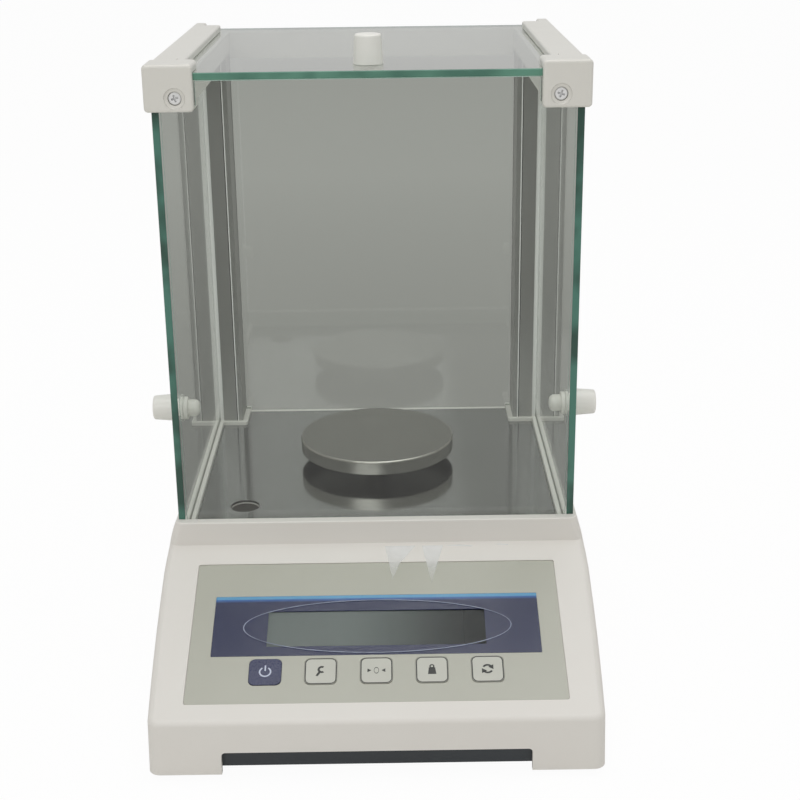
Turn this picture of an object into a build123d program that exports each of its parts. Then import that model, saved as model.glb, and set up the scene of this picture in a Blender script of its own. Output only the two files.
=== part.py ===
from build123d import *
from math import cos, radians, sin, tan
import os

os.makedirs("parts", exist_ok=True)

# A jewelry scale: an electronic balance with a round pan inside a glass draft shield,
# whose two side glasses and top glass slide to the rear.
# Millimetres, X to the right, Y to the rear, Z up.
# The origin is on the surface that the scale stands on, under the middle of the housing.

# Housing
base_depth = 326.0          # front skirt to rear wall
base_width = 224.0          # across the feet of the side walls
front_width = 217.6         # across the foot of the front skirt
wall = 3.0                  # moulded wall of the housing
side_draft = 1.5            # degrees
leg_clearance = 3.6         # air under the lower edge of the housing
floor_height = 76.5         # top face of the chamber floor above the ground
slope_angle = 22.1          # of the control panel, degrees
slope_length = 114.3        # of the control panel, down its slope
ledge_drop = 2.6            # foot of the ledge below the chamber floor
front_lip_height = 10.2     # above the chamber floor
front_lip_depth = 5.0       # thickness of the lip in front of the glasses
lip_half_width = 105.3      # at the top of the lip
shoulder_height = 25.0      # height over which the sides round in to the lip
plan_corner = 6.0           # radius of the upright corners
ledge_corner = 4.0          # radius of the upright corners of the ledge
lip_round = 0.8             # radius of the lip's front edge
edge_round = 3.2            # radius of the panel's edges
cutout_half_width = 73.9    # of the opening in the front skirt
cutout_height = 11.6        # above the lower edge of the skirt
cutout_corner = 2.0
rear_deck_drop = 10.0       # rear deck below the chamber floor
rear_deck_depth = 15.0      # from the chamber platform to the rear wall
deck_thickness = 4.2        # roof of the housing below the chamber floor plate
pillar_radius = 4.5         # screw pillars inside the housing
pillar_inset = 16.0         # of the pillars from the side and rear walls
pillar_front_inset = 22.0
pillar_middle_inset = 123.0 # of the middle pillars from the rear wall
side_roof_width = 14.0      # of the lower roof beside the grooves
screw_clear = 1.7           # radius of the holes for the screws' shanks
pilot = 1.25                # radius of the holes that the housing screws cut into

# Glass shield
glass = 3.5                 # thickness of every pane
shield_half_width = 100.5   # inner face of the side glasses
shield_depth = 198.5        # front edge of the side glasses to the rail ends
shield_height = 246.1       # top of the corner blocks above the chamber floor
slide_gap = 0.3             # running clearance of the sliding glasses
seat_gap = 0.2              # clearance of a pane in its groove
side_glass_inset = 1.5      # rear edges of the side glasses ahead of the rail ends
top_glass_half_width = 94.3
top_glass_drop = 4.25       # top face of the top glass below the top of the blocks
top_glass_front = 1.0       # overhang past the side glasses
top_glass_rear = 3.5        # overhang past the rail ends
door_groove_depth = 5.0     # of the side glasses' grooves below the chamber floor
pane_groove_depth = 4.0     # of the fixed panes' grooves

# Control panel, measured down the slope from the ledge
overlay_side = 10.55        # of the overlay beside the bezel
overlay_start = 14.0
overlay_height = 88.3
overlay_thickness = 0.5
overlay_recess = 0.8
overlay_corner = 1.2
overlay_gap = 0.6           # between the overlay and its seat, both sides together
bezel_width = 162.7
bezel_start = 35.7
bezel_height = 38.2
bezel_corner = 0.6
lcd_width = 108.6
lcd_start = 45.7
lcd_height = 22.4
key_size = 15.5
key_pitch = 27.0
key_corner = 3.0
key_line = 83.7             # centre line of the keys down the slope
key_travel = 0.4
key_names = ["power_key", "set_key", "tare_key", "calibrate_key", "unit_key"]

# Pan and weighing cell
pan_radius = 45.0
pan_depth = 109.5           # pan centre behind the front edge of the side glasses
pan_height = 15.35          # top of the pan above the chamber floor
pan_rim = 7.8
pan_sheet = 1.2

# Level
level_x = -72.9
level_depth = 40.4          # behind the front edge of the side glasses
level_hole_radius = 8.1

# Places worked out from the sizes above
front_y = -base_depth / 2
rear_y = base_depth / 2
slope_run = slope_length * cos(radians(slope_angle))
ledge_y = front_y + slope_run
ledge_z = floor_height - ledge_drop
lip_z = floor_height + front_lip_height
lip_rear_y = ledge_y + front_lip_depth
shield_y = lip_rear_y + slide_gap
platform_rear_y = rear_y - rear_deck_depth
shield_rear_y = shield_y + shield_depth
overlay_width = bezel_width + 2 * overlay_side
panel = Plane(
    origin=(0, ledge_y, ledge_z),
    x_dir=(1, 0, 0),
    z_dir=(0, -sin(radians(slope_angle)), cos(radians(slope_angle))),
)

# Heights of the shield
block_top_z = floor_height + shield_height
top_glass_z = block_top_z - top_glass_drop - glass
block_height = 22.5
block_bottom_z = block_top_z - block_height
rail_top_z = block_top_z - 0.5
rail_bottom_z = block_bottom_z + 2.9
column_top_z = rail_bottom_z

# Floor plate, door grooves and guides
plate = 1.2
guide_height = 2.6
guide_width = 2.6
guide_round = 0.6           # radius of the guides' upper edges
groove_inner_x = shield_half_width - slide_gap
groove_outer_x = shield_half_width + glass + slide_gap
groove_z = floor_height - door_groove_depth
guide_inner_x = groove_inner_x - guide_width
deck_z = floor_height - plate
roof_z = deck_z - deck_thickness
side_roof_z = groove_z - wall
side_roof_x = groove_inner_x - side_roof_width
side_lip_z = floor_height + guide_height


def slope_z(y):
    """Height of the control panel's face at a depth."""
    return ledge_z - (ledge_y - y) * tan(radians(slope_angle))


def plan_outline(inset):
    """Outline of the housing at its lower edge, drawn in from the outer faces."""
    side = inset - base_width / 2
    front_side = inset - front_width / 2
    with BuildSketch() as outline:
        with BuildLine():
            Line((0, rear_y - inset), (side, rear_y - inset))
            Line((side, rear_y - inset), (side, ledge_y))
            TangentArc((side, ledge_y), (front_side, front_y + inset), tangent=(0, -1))
            Line((front_side, front_y + inset), (0, front_y + inset))
            mirror(about=Plane.YZ)
        make_face()
        ends = outline.vertices().filter_by(lambda v: abs(abs(v.Y) - rear_y + inset) < 1)
        corners = ends.filter_by(lambda v: abs(v.X) > 1)
        fillet(corners, radius=max(plan_corner - inset, 1.0))
    return outline.sketch


def shoulder_section(low_z):
    """Cross-section of the housing's sides, which round in to the lip."""
    lean = tan(radians(side_draft))
    shoulder_z = lip_z - shoulder_height
    shoulder_x = base_width / 2 - (shoulder_z - leg_clearance) * lean
    low_x = shoulder_x + (shoulder_z - low_z) * lean
    with BuildSketch() as section:
        with BuildLine():
            Line((0, low_z), (low_x, low_z))
            Line((low_x, low_z), (shoulder_x, shoulder_z))
            TangentArc((shoulder_x, shoulder_z), (lip_half_width, lip_z), tangent=(-lean, 1))
            Line((lip_half_width, lip_z), (0, lip_z))
            mirror(about=Plane.YZ)
        make_face()
    return section.sketch


# Lower form of the housing, with the sloping control panel
with BuildPart() as lower_form:
    with BuildSketch(Plane.XY.offset(leg_clearance)):
        add(plan_outline(0))
    extrude(amount=lip_z - leg_clearance, taper=side_draft)
    panel_end_y = lip_rear_y - 0.1 * front_lip_depth
    with BuildSketch(Plane.YZ):
        with BuildLine():
            Polyline(
                (front_y - 1, 0),
                (front_y - 1, slope_z(front_y - 1)),
                (panel_end_y, slope_z(panel_end_y)),
                (panel_end_y, ledge_z),
                (platform_rear_y, ledge_z),
                (platform_rear_y, floor_height - rear_deck_drop),
                (rear_y + 1, floor_height - rear_deck_drop),
                (rear_y + 1, 0),
                close=True,
            )
        make_face()
    extrude(amount=base_width, both=True, mode=Mode.INTERSECT)
    with BuildSketch(Plane.XZ):
        add(shoulder_section(0))
    extrude(amount=base_depth, both=True, mode=Mode.INTERSECT)
    sloping = lower_form.faces().filter_by(lambda f: f.normal_at().Y < -0.3 and f.normal_at().Z > 0.9)
    panel_face = sloping.sort_by(Axis.Z)[0]
    fillet(panel_face.edges().filter_by(lambda e: e.center().Y < panel_end_y - 1), radius=edge_round)

# Chamber platform with the lip and the rounded ledge
with BuildPart() as upper_form:
    with BuildSketch(Plane.XZ.offset(-platform_rear_y)):
        add(shoulder_section(lip_z - shoulder_height - 2))
    extrude(amount=platform_rear_y - ledge_y)
    with BuildSketch(Plane.YZ):
        with Locations((lip_rear_y, side_lip_z)):
            Rectangle(base_depth, front_lip_height, align=(Align.MIN, Align.MIN))
    extrude(amount=base_width, both=True, mode=Mode.SUBTRACT)
    front_edges = upper_form.edges().filter_by(lambda e: e.center().Y < ledge_y + 0.1)
    front_corners = front_edges.filter_by(lambda e: abs(e.center().X) > front_width / 4)
    fillet(front_corners.filter_by(GeomType.CIRCLE), radius=ledge_corner)

# Hollow of the housing, with the screw pillars and panel bosses left standing in it
pillar_x = base_width / 2 - pillar_inset
pillar_rows = [front_y + pillar_front_inset, rear_y - pillar_middle_inset, rear_y - pillar_inset]
pillar_places = [(x, y) for x in (-pillar_x, pillar_x) for y in pillar_rows]
tray_gap = 0.6              # between the tray and the housing's walls
tray_plate = 3.0
tray_wall = 2.5
tray_z = 5.6                # underside of the tray
tray_top_z = tray_z + tray_plate
tray_wall_z = 24.0          # top of the tray's rim
panel_inner = wall / cos(radians(slope_angle))
roof_front_y = ledge_y + 2.0
board_drop = 9.0            # top of the panel board below the panel's face
board_width = 176.0
board_height = 76.0
board_center = 58.0         # down the slope
pcb = 1.6                   # thickness of the circuit boards
post_radius = 3.0
post_inset = 4.0            # of the panel board's screws from its edges
post_x = board_width / 2 - post_inset
post_reach = board_height / 2 - post_inset
post_rows = [board_center - post_reach, board_center + post_reach]
post_places = [(x, -row) for x in (-post_x, post_x) for row in post_rows]

with BuildPart() as hollow:
    with BuildSketch(Plane.XY.offset(leg_clearance - 1)):
        add(plan_outline(wall))
    extrude(amount=lip_z - leg_clearance, taper=side_draft)
    with BuildSketch(Plane.YZ):
        with BuildLine():
            Polyline(
                (front_y, 0),
                (front_y, slope_z(front_y) - panel_inner),
                (roof_front_y, slope_z(roof_front_y) - panel_inner),
                (roof_front_y, roof_z),
                (platform_rear_y - wall, roof_z),
                (platform_rear_y - wall, floor_height - rear_deck_drop - wall),
                (rear_y, floor_height - rear_deck_drop - wall),
                (rear_y, 0),
                close=True,
            )
        make_face()
    extrude(amount=base_width, both=True, mode=Mode.INTERSECT)
    with BuildSketch(Plane.XZ):
        Rectangle(base_width, side_roof_z, align=(Align.CENTER, Align.MIN))
        Rectangle(2 * side_roof_x, lip_z, align=(Align.CENTER, Align.MIN))
    extrude(amount=base_depth, both=True, mode=Mode.INTERSECT)
    with BuildSketch(Plane.XY.offset(tray_top_z)):
        with Locations(*pillar_places):
            Circle(pillar_radius)
    extrude(amount=lip_z, mode=Mode.SUBTRACT)
    with BuildSketch(panel.offset(-board_drop)):
        with Locations(*post_places):
            Circle(post_radius)
    extrude(amount=board_drop, mode=Mode.SUBTRACT)

# Places in the glass shield
pan_y = shield_y + pan_depth
lever_y = pan_y - 37.5                      # pivot of the lever, ahead of the pan
level_y = shield_y + level_depth
front_glass_y = shield_y + 0.5
rear_glass_y = shield_rear_y - 5.9
pane_foot_z = floor_height - pane_groove_depth
pane_groove = glass + 2 * seat_gap          # width of the fixed panes' grooves
column_inner_x = 85.7
column_outer_x = groove_inner_x - 0.1
column_depth = 27.9
column_front_y = shield_rear_y - column_depth
column_foot_thickness = 2.0
column_foot_lip = 3.0                       # of the foot plate beside the column
column_foot_corner = 1.5
column_port_x = 91.5                        # of the long screws through the column
column_port_y = rear_y - 32.0
rear_groove_x = column_inner_x + 4.2        # bottom of the column's groove for the rear pane
screw_radius = 1.5                          # of the frame screws
thread_clear = 0.05                         # between a frame screw and its threaded hole
stem_hole_radius = 11.0
lcd_frame = 4.5                             # of the display glass under the bezel
lcd_opening_width = lcd_width + 2 * lcd_frame
lcd_opening_height = lcd_height + 2 * lcd_frame
lcd_line = lcd_start + lcd_height / 2
key_flange = 1.8                            # of a key under the overlay
key_pocket = key_size + 2 * key_flange
key_pocket_depth = 2.2
plunger_radius = 2.0
plunger_clear = 0.4
port_half_width = 50.0                      # opening for the connectors in the rear skirt
port_top_z = 36.0
pillar_pilot_depth = 10.0
post_pilot_depth = 5.0
key_places = [((i - 2) * key_pitch, -key_line) for i in range(5)]

# Upper housing
with BuildPart() as upper_housing:
    add(lower_form.part)
    add(upper_form.part)
    lip_edges = upper_housing.edges().filter_by(lambda e: e.center().Z > lip_z - 0.1)
    fillet(lip_edges.group_by(Axis.Y)[0], radius=lip_round)
    add(hollow.part, mode=Mode.SUBTRACT)
    # opening in the front skirt, with rounded upper corners
    with BuildSketch(Plane.XZ):
        with Locations((0, leg_clearance)):
            RectangleRounded(2 * cutout_half_width, 2 * cutout_height, cutout_corner)
    extrude(amount=base_depth / 2 + 1, mode=Mode.SUBTRACT)
    # opening for the connectors in the rear skirt
    with BuildSketch(Plane.XZ):
        RectangleRounded(2 * port_half_width, 2 * port_top_z, cutout_corner)
    extrude(amount=-base_depth / 2 - 1, mode=Mode.SUBTRACT)
    # seat of the chamber floor and of the side guides
    with BuildSketch(Plane.XY.offset(deck_z)):
        with Locations((0, lip_rear_y)):
            Rectangle(2 * groove_inner_x, base_depth, align=(Align.CENTER, Align.MIN))
    extrude(amount=front_lip_height, mode=Mode.SUBTRACT)
    # grooves of the sliding side glasses, open to the rear
    with BuildSketch(Plane.XY.offset(groove_z)):
        for side in (-1, 1):
            with Locations((side * (groove_inner_x + groove_outer_x) / 2, lip_rear_y)):
                Rectangle(groove_outer_x - groove_inner_x, base_depth, align=(Align.CENTER, Align.MIN))
    extrude(amount=lip_z - groove_z, mode=Mode.SUBTRACT)
    # grooves of the front and rear panes
    with BuildSketch(Plane.XY.offset(pane_foot_z)):
        with Locations((0, front_glass_y + glass / 2)):
            Rectangle(2 * groove_inner_x, pane_groove)
        with Locations((0, rear_glass_y + glass / 2)):
            Rectangle(2 * rear_groove_x, pane_groove)
    extrude(amount=front_lip_height, mode=Mode.SUBTRACT)
    # holes for the pan's stem, the level and the column screws
    with BuildSketch(Plane.XY.offset(lip_z)):
        with Locations((0, pan_y)):
            Circle(stem_hole_radius)
        with Locations((level_x, level_y)):
            Circle(level_hole_radius)
        with Locations((-column_port_x, column_port_y), (column_port_x, column_port_y)):
            Circle(screw_clear)
    extrude(amount=side_roof_z - wall - lip_z, mode=Mode.SUBTRACT)
    # seat of the overlay, windows and key pockets in the panel
    with BuildSketch(panel):
        with Locations((0, -overlay_start - overlay_height / 2)):
            RectangleRounded(overlay_width + overlay_gap, overlay_height + overlay_gap, overlay_corner)
    extrude(amount=-overlay_recess, mode=Mode.SUBTRACT)
    with BuildSketch(panel):
        with Locations((0, -lcd_line)):
            Rectangle(lcd_opening_width, lcd_opening_height)
        with Locations(*key_places):
            Circle(plunger_radius + plunger_clear)
    extrude(amount=-2 * wall, mode=Mode.SUBTRACT)
    with BuildSketch(panel):
        with Locations(*key_places):
            RectangleRounded(key_pocket, key_pocket, key_corner)
    extrude(amount=-key_pocket_depth, mode=Mode.SUBTRACT)
    # pilot holes in the pillars and the panel bosses
    with BuildSketch(Plane.XY.offset(tray_top_z)):
        with Locations(*pillar_places):
            Circle(pilot)
    extrude(amount=pillar_pilot_depth, mode=Mode.SUBTRACT)
    with BuildSketch(panel.offset(-board_drop)):
        with Locations(*post_places):
            Circle(pilot)
    extrude(amount=post_pilot_depth, mode=Mode.SUBTRACT)

# Bottom tray
foot_x = base_width / 2 - 28.0
foot_rear_y = rear_y - 47.0
foot_front_x = base_width / 2 - 32.0
foot_front_y = front_y + 27.0
pocket_radius = 18.5
pocket_wall = 2.5
pocket_roof_z = 18.0
stud_radius = 4.0
stud_clear = 0.1
bush_radius = 6.0
foot_plug_radius = 2.5
board_z = 18.0              # underside of the main board
board_side_gap = 3.0        # between the main board and the pockets of the feet
main_board_width = 2 * (foot_x - pocket_radius - pocket_wall - board_side_gap)
main_board_depth = 64.0
main_board_y = rear_y - 48.0
jack_x = -30.0
serial_x = 20.0
jack_radius = 4.4           # of the barrel of the power jack
serial_shell = 18.0         # width of the serial port's shell
serial_shell_height = 9.0
serial_screw_x = 12.5       # of the port's screws from its middle
serial_screw_radius = 2.6
port_clear = 0.2            # between a connector and its hole
standoff_inset = 5.0        # of the board's screws from its edges
standoff_x = main_board_width / 2 - standoff_inset
standoff_half_depth = main_board_depth / 2 - standoff_inset
standoff_rows = [main_board_y - standoff_half_depth, main_board_y + standoff_half_depth]
standoff_places = [(x, y) for x in (-standoff_x, standoff_x) for y in standoff_rows]
foot_places = [(-foot_x, foot_rear_y), (foot_x, foot_rear_y)]
plug_places = [(-foot_front_x, foot_front_y), (foot_front_x, foot_front_y)]
tray_inset = wall + tray_gap
tray_rear_y = rear_y - tray_inset
jack_z = board_z + pcb + 5.5
serial_z = board_z + pcb + 6.5
serial_screw_places = [(serial_x + side * serial_screw_x, serial_z) for side in (-1, 1)]
plate_inset = 0.9           # of the connector plate from the rear of the tray
plate_gap = 0.5             # between the connector plate and its opening
tray_edge = 1.2             # radius of the tray's lower edge
head_radius = 3.0           # of the housing screws
head_height = 1.7
head_clear = 0.3
standoff_pilot_depth = 7.0

with BuildPart() as bottom_tray:
    with BuildSketch(Plane.XY.offset(tray_z)):
        add(plan_outline(tray_inset))
    extrude(amount=tray_wall_z - tray_z, taper=side_draft)
    fillet(bottom_tray.edges().group_by(Axis.Z)[0], radius=tray_edge)
    with BuildSketch(Plane.XY.offset(tray_top_z)):
        add(plan_outline(tray_inset + tray_wall))
    extrude(amount=tray_wall_z, taper=side_draft, mode=Mode.SUBTRACT)
    # plate that carries the connectors
    with BuildSketch(Plane.XY.offset(tray_top_z)):
        with Locations((0, tray_rear_y - plate_inset)):
            Rectangle(2 * (port_half_width - plate_gap), tray_wall, align=(Align.CENTER, Align.MAX))
    extrude(amount=port_top_z - plate_gap - tray_top_z)
    # pockets of the levelling feet
    with BuildSketch(Plane.XY.offset(tray_z)):
        with Locations(*foot_places):
            Circle(pocket_radius + pocket_wall)
    extrude(amount=pocket_roof_z + pocket_wall - tray_z)
    with BuildSketch(Plane.XY.offset(tray_z)):
        with Locations(*foot_places):
            Circle(pocket_radius)
    extrude(amount=pocket_roof_z - tray_z, mode=Mode.SUBTRACT)
    # posts of the main board
    with BuildSketch(Plane.XY.offset(tray_top_z)):
        with Locations(*standoff_places):
            Circle(post_radius)
    extrude(amount=board_z - tray_top_z)
    # holes for bushes, plugs of the front feet and screws
    with BuildSketch(Plane.XY):
        with Locations(*foot_places):
            Circle(bush_radius)
        with Locations(*plug_places):
            Circle(foot_plug_radius)
        with Locations(*pillar_places):
            Circle(screw_clear)
    extrude(amount=tray_wall_z, mode=Mode.SUBTRACT)
    with BuildSketch(Plane.XY):
        with Locations(*pillar_places):
            Circle(head_radius + head_clear)
    extrude(amount=tray_z + head_height, mode=Mode.SUBTRACT)
    with BuildSketch(Plane.XY.offset(board_z)):
        with Locations(*standoff_places):
            Circle(pilot)
    extrude(amount=-standoff_pilot_depth, mode=Mode.SUBTRACT)
    with BuildSketch(Plane.XZ):
        with Locations((jack_x, jack_z)):
            Circle(jack_radius + port_clear)
        with Locations((serial_x, serial_z)):
            RectangleRounded(serial_shell + 2 * port_clear, serial_shell_height + 2 * port_clear, 2)
        with Locations(*serial_screw_places):
            Circle(serial_screw_radius + port_clear)
    extrude(amount=-base_depth / 2, mode=Mode.SUBTRACT)

# Chamber floor, a bright steel plate
with BuildPart() as chamber_floor:
    floor_gap = 2 * seat_gap
    floor_front_y = front_glass_y + glass + floor_gap
    floor_depth = rear_glass_y - floor_gap - floor_front_y
    with BuildSketch(Plane.XY.offset(deck_z)):
        with Locations((0, floor_front_y)):
            Rectangle(2 * guide_inner_x - floor_gap, floor_depth, align=(Align.CENTER, Align.MIN))
        with Locations((0, pan_y)):
            Circle(stem_hole_radius, mode=Mode.SUBTRACT)
        with Locations((level_x, level_y)):
            Circle(level_hole_radius, mode=Mode.SUBTRACT)
        with Locations((-column_port_x, column_port_y), (column_port_x, column_port_y)):
            Circle(screw_clear, mode=Mode.SUBTRACT)
    extrude(amount=plate)

# Guide strips beside the floor, inside the side glasses
with BuildPart() as right_door_guide:
    guide_length = column_front_y - column_foot_lip - seat_gap - floor_front_y
    with BuildSketch(Plane.XY.offset(deck_z)):
        with Locations((guide_inner_x, floor_front_y)):
            Rectangle(guide_width, guide_length, align=(Align.MIN, Align.MIN))
    extrude(amount=plate + guide_height)
    fillet(right_door_guide.edges().filter_by(Axis.Y).group_by(Axis.Z)[-1], radius=guide_round)

# Rear columns, aluminium extrusions that stand on white foot plates
with BuildPart() as right_column_foot:
    foot_inner_x = column_inner_x - column_foot_lip
    foot_width = column_outer_x - foot_inner_x
    foot_depth = column_depth + column_foot_lip
    with BuildSketch(Plane.XY.offset(floor_height)):
        with Locations((foot_inner_x, column_front_y - column_foot_lip)):
            Rectangle(foot_width, foot_depth, align=(Align.MIN, Align.MIN))
        with Locations((0, rear_glass_y - seat_gap)):
            Rectangle(rear_groove_x, pane_groove, align=(Align.MIN, Align.MIN), mode=Mode.SUBTRACT)
        with Locations((column_port_x, column_port_y)):
            Circle(screw_clear, mode=Mode.SUBTRACT)
    extrude(amount=column_foot_thickness)
    fillet(right_column_foot.edges().filter_by(Axis.Z).sort_by(Axis.Y)[0:2], radius=column_foot_corner)

column_z = floor_height + column_foot_thickness
with BuildPart() as right_column:
    column_width = column_outer_x - column_inner_x
    column_strip = 2.3      # width of the step along the side glass
    column_step = 1.2       # depth of that step
    column_wall = 1.6
    channel_width = column_width - column_strip - 2 * column_wall
    channel_depth = 6.5     # of the hollow behind the front face
    with BuildSketch(Plane.XY.offset(column_z)):
        with Locations((column_inner_x, column_front_y)):
            Rectangle(column_width, column_depth, align=(Align.MIN, Align.MIN))
        with Locations((column_outer_x - column_strip, column_front_y)):
            Rectangle(column_strip, column_step, align=(Align.MIN, Align.MIN), mode=Mode.SUBTRACT)
        with Locations((0, rear_glass_y - seat_gap)):
            Rectangle(rear_groove_x, pane_groove, align=(Align.MIN, Align.MIN), mode=Mode.SUBTRACT)
        with Locations((column_inner_x + column_wall, column_front_y + column_wall)):
            Rectangle(channel_width, channel_depth, align=(Align.MIN, Align.MIN), mode=Mode.SUBTRACT)
        with Locations((column_port_x, column_port_y)):
            Circle(screw_radius + thread_clear, mode=Mode.SUBTRACT)
    extrude(amount=column_top_z - column_z)

# Top rails, which hold the top glass and the upper edges of the side glasses
block_front_y = shield_y - 4.2
block_depth = 20.2
block_rear_y = block_front_y + block_depth
cap_thickness = 2.0
rail_outer_x = 105.3
rail_lip_x = 89.1           # edge of the rail's lip over the top glass
rail_shelf_x = 84.5         # inner edge of the shelf under the top glass
rail_relief_x = 98.8        # edge of the lip where it is cut back at the rear
rail_relief_length = 12.0
rail_round = 1.2            # radius of the rails' upper edges
top_groove_x = top_glass_half_width + slide_gap
side_groove_top_z = rail_bottom_z + 5.3
frame_screw_x = 92.0
frame_screw_z = block_top_z - 16.0
front_screw_reach = 9.8     # of the frame screws into the rails
rear_screw_reach = 7.0
front_hole_depth = 12.0
screw_end_gap = 1.0         # between the tip of a screw and the bottom of its hole
port_head_radius = 2.8      # of the long screws' heads
port_head_height = 2.0
port_head_seat = 2.4        # depth of the recess for each of those heads
port_head_clear = 0.1


def rail_profile(lip_x):
    """Cross-section of the right top rail, with its lip over the glass as far in as given."""
    with BuildSketch() as profile:
        with BuildLine():
            Polyline(
                (rail_shelf_x, rail_bottom_z),
                (groove_inner_x, rail_bottom_z),
                (groove_inner_x, side_groove_top_z),
                (groove_outer_x, side_groove_top_z),
                (groove_outer_x, rail_bottom_z),
                (rail_outer_x, rail_bottom_z),
                (rail_outer_x, rail_top_z),
                (lip_x, rail_top_z),
                (lip_x, top_glass_z + glass + slide_gap),
                (top_groove_x, top_glass_z + glass + slide_gap),
                (top_groove_x, top_glass_z - slide_gap),
                (rail_shelf_x, top_glass_z - slide_gap),
                close=True,
            )
        make_face()
        fillet(profile.vertices().group_by(Axis.Y)[-1], radius=rail_round)
    return profile.sketch

with BuildPart() as right_top_rail:
    rail_rear_y = shield_rear_y - cap_thickness
    relief_y = rail_rear_y - rail_relief_length
    with BuildSketch(Plane.XZ.offset(-relief_y)):
        add(rail_profile(rail_lip_x))
    extrude(amount=relief_y - block_rear_y)
    with BuildSketch(Plane.XZ.offset(-rail_rear_y)):
        add(rail_profile(rail_relief_x))
    extrude(amount=rail_relief_length)
    with BuildSketch(Plane.XZ.offset(-rail_rear_y)):
        with Locations((frame_screw_x, frame_screw_z)):
            Circle(screw_radius + thread_clear)
    extrude(amount=rear_screw_reach + screw_end_gap, mode=Mode.SUBTRACT)
    with BuildSketch(Plane.XZ.offset(-block_rear_y)):
        with Locations((frame_screw_x, frame_screw_z)):
            Circle(screw_radius + thread_clear)
    extrude(amount=-front_hole_depth, mode=Mode.SUBTRACT)
    with BuildSketch(Plane.XY.offset(rail_bottom_z)):
        with Locations((column_port_x, column_port_y)):
            Circle(screw_clear)
    extrude(amount=top_glass_z - rail_bottom_z, mode=Mode.SUBTRACT)
    with BuildSketch(Plane.XY.offset(top_glass_z - slide_gap)):
        with Locations((column_port_x, column_port_y)):
            Circle(port_head_radius + port_head_clear)
    extrude(amount=-port_head_seat, mode=Mode.SUBTRACT)

# Rear caps of the rails
with BuildPart() as right_rear_cap:
    with BuildSketch(Plane.XZ.offset(-shield_rear_y)):
        add(rail_profile(rail_relief_x))
        with Locations((frame_screw_x, frame_screw_z)):
            Circle(screw_clear, mode=Mode.SUBTRACT)
    extrude(amount=cap_thickness)

# Front corner blocks
block_inner_x = 83.1
block_outer_x = 106.9
block_corner = 2.0
block_edge = 1.4                            # radius of the edges round the front face
tab_width = 5.4                             # of the tab over the rail
tab_length = 16.0
tab_corner = 1.2
tab_x = block_outer_x - 11.5
tab_y = block_rear_y - 1.0
shoulder_pane_z = block_bottom_z + 2.8      # top of the front pane under the blocks
frame_counterbore = 5.15
frame_head = 3.15                           # radius of the frame screws' heads
frame_head_height = 2.6
frame_seat = 4.0                            # depth of the seat of a screw's head
with BuildPart() as right_front_block:
    with BuildSketch(Plane.XZ.offset(-block_rear_y)):
        with Locations(((block_inner_x + block_outer_x) / 2, (block_bottom_z + block_top_z) / 2)):
            RectangleRounded(block_outer_x - block_inner_x, block_height, block_corner)
    extrude(amount=block_depth)
    fillet(right_front_block.faces().sort_by(Axis.Y)[0].edges(), radius=block_edge)
    # tab over the rail
    with BuildSketch(Plane.XY.offset(rail_top_z)):
        with Locations((tab_x, tab_y)):
            RectangleRounded(tab_width, tab_length, tab_corner)
    extrude(amount=block_top_z - rail_top_z)
    # groove of the top glass, stopped at the front
    with BuildSketch(Plane.XZ.offset(-block_rear_y - 1)):
        with Locations((block_inner_x - 1, top_glass_z - slide_gap)):
            Rectangle(top_groove_x - block_inner_x + 1, glass + 2 * slide_gap, align=(Align.MIN, Align.MIN))
        with Locations((groove_inner_x, block_bottom_z - 1)):
            Rectangle(
                groove_outer_x - groove_inner_x,
                side_groove_top_z - block_bottom_z + 1,
                align=(Align.MIN, Align.MIN),
            )
    extrude(amount=block_rear_y + 1 - shield_y + top_glass_front + slide_gap, mode=Mode.SUBTRACT)
    # groove of the front pane
    with BuildSketch(Plane.XY.offset(block_bottom_z - 1)):
        with Locations((block_inner_x - 1, front_glass_y - seat_gap)):
            Rectangle(groove_inner_x - block_inner_x + 1, pane_groove, align=(Align.MIN, Align.MIN))
    extrude(amount=shoulder_pane_z + seat_gap - block_bottom_z + 1, mode=Mode.SUBTRACT)
    with BuildSketch(Plane.XZ.offset(-block_rear_y - 1)):
        with Locations((frame_screw_x, frame_screw_z)):
            Circle(screw_clear)
    extrude(amount=block_depth + 2, mode=Mode.SUBTRACT)
    with BuildSketch(Plane.XZ.offset(-block_front_y)):
        with Locations((frame_screw_x, frame_screw_z)):
            Circle(frame_counterbore)
    extrude(amount=-frame_seat, mode=Mode.SUBTRACT)

# Bar across the rear, which holds the upper edge of the rear pane
bar_bottom_z = rail_bottom_z - 4.0
bar_top_z = top_glass_z - 2 * slide_gap
bar_front_y = rear_glass_y - 2.8
with BuildPart() as rear_crossbar:
    with BuildSketch(Plane.YZ):
        with BuildLine():
            Polyline(
                (bar_front_y, bar_bottom_z),
                (rear_glass_y - seat_gap, bar_bottom_z),
                (rear_glass_y - seat_gap, rail_bottom_z + 0.1),
                (rear_glass_y + glass + seat_gap, rail_bottom_z + 0.1),
                (rear_glass_y + glass + seat_gap, bar_bottom_z),
                (shield_rear_y, bar_bottom_z),
                (shield_rear_y, bar_top_z),
                (bar_front_y, bar_top_z),
                close=True,
            )
        make_face()
    extrude(amount=rail_shelf_x, both=True)

# Panes
with BuildPart() as front_glass:
    with BuildSketch(Plane.XZ.offset(-front_glass_y - glass)):
        with BuildLine():
            Polyline(
                (0, pane_foot_z + seat_gap),
                (groove_inner_x - 2 * seat_gap, pane_foot_z + seat_gap),
                (groove_inner_x - 2 * seat_gap, shoulder_pane_z),
                (block_inner_x - 2 * seat_gap, shoulder_pane_z),
                (block_inner_x - 2 * seat_gap, top_glass_z - 2 * slide_gap),
                (0, top_glass_z - 2 * slide_gap),
            )
            mirror(about=Plane.YZ)
        make_face()
    extrude(amount=glass)

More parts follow.
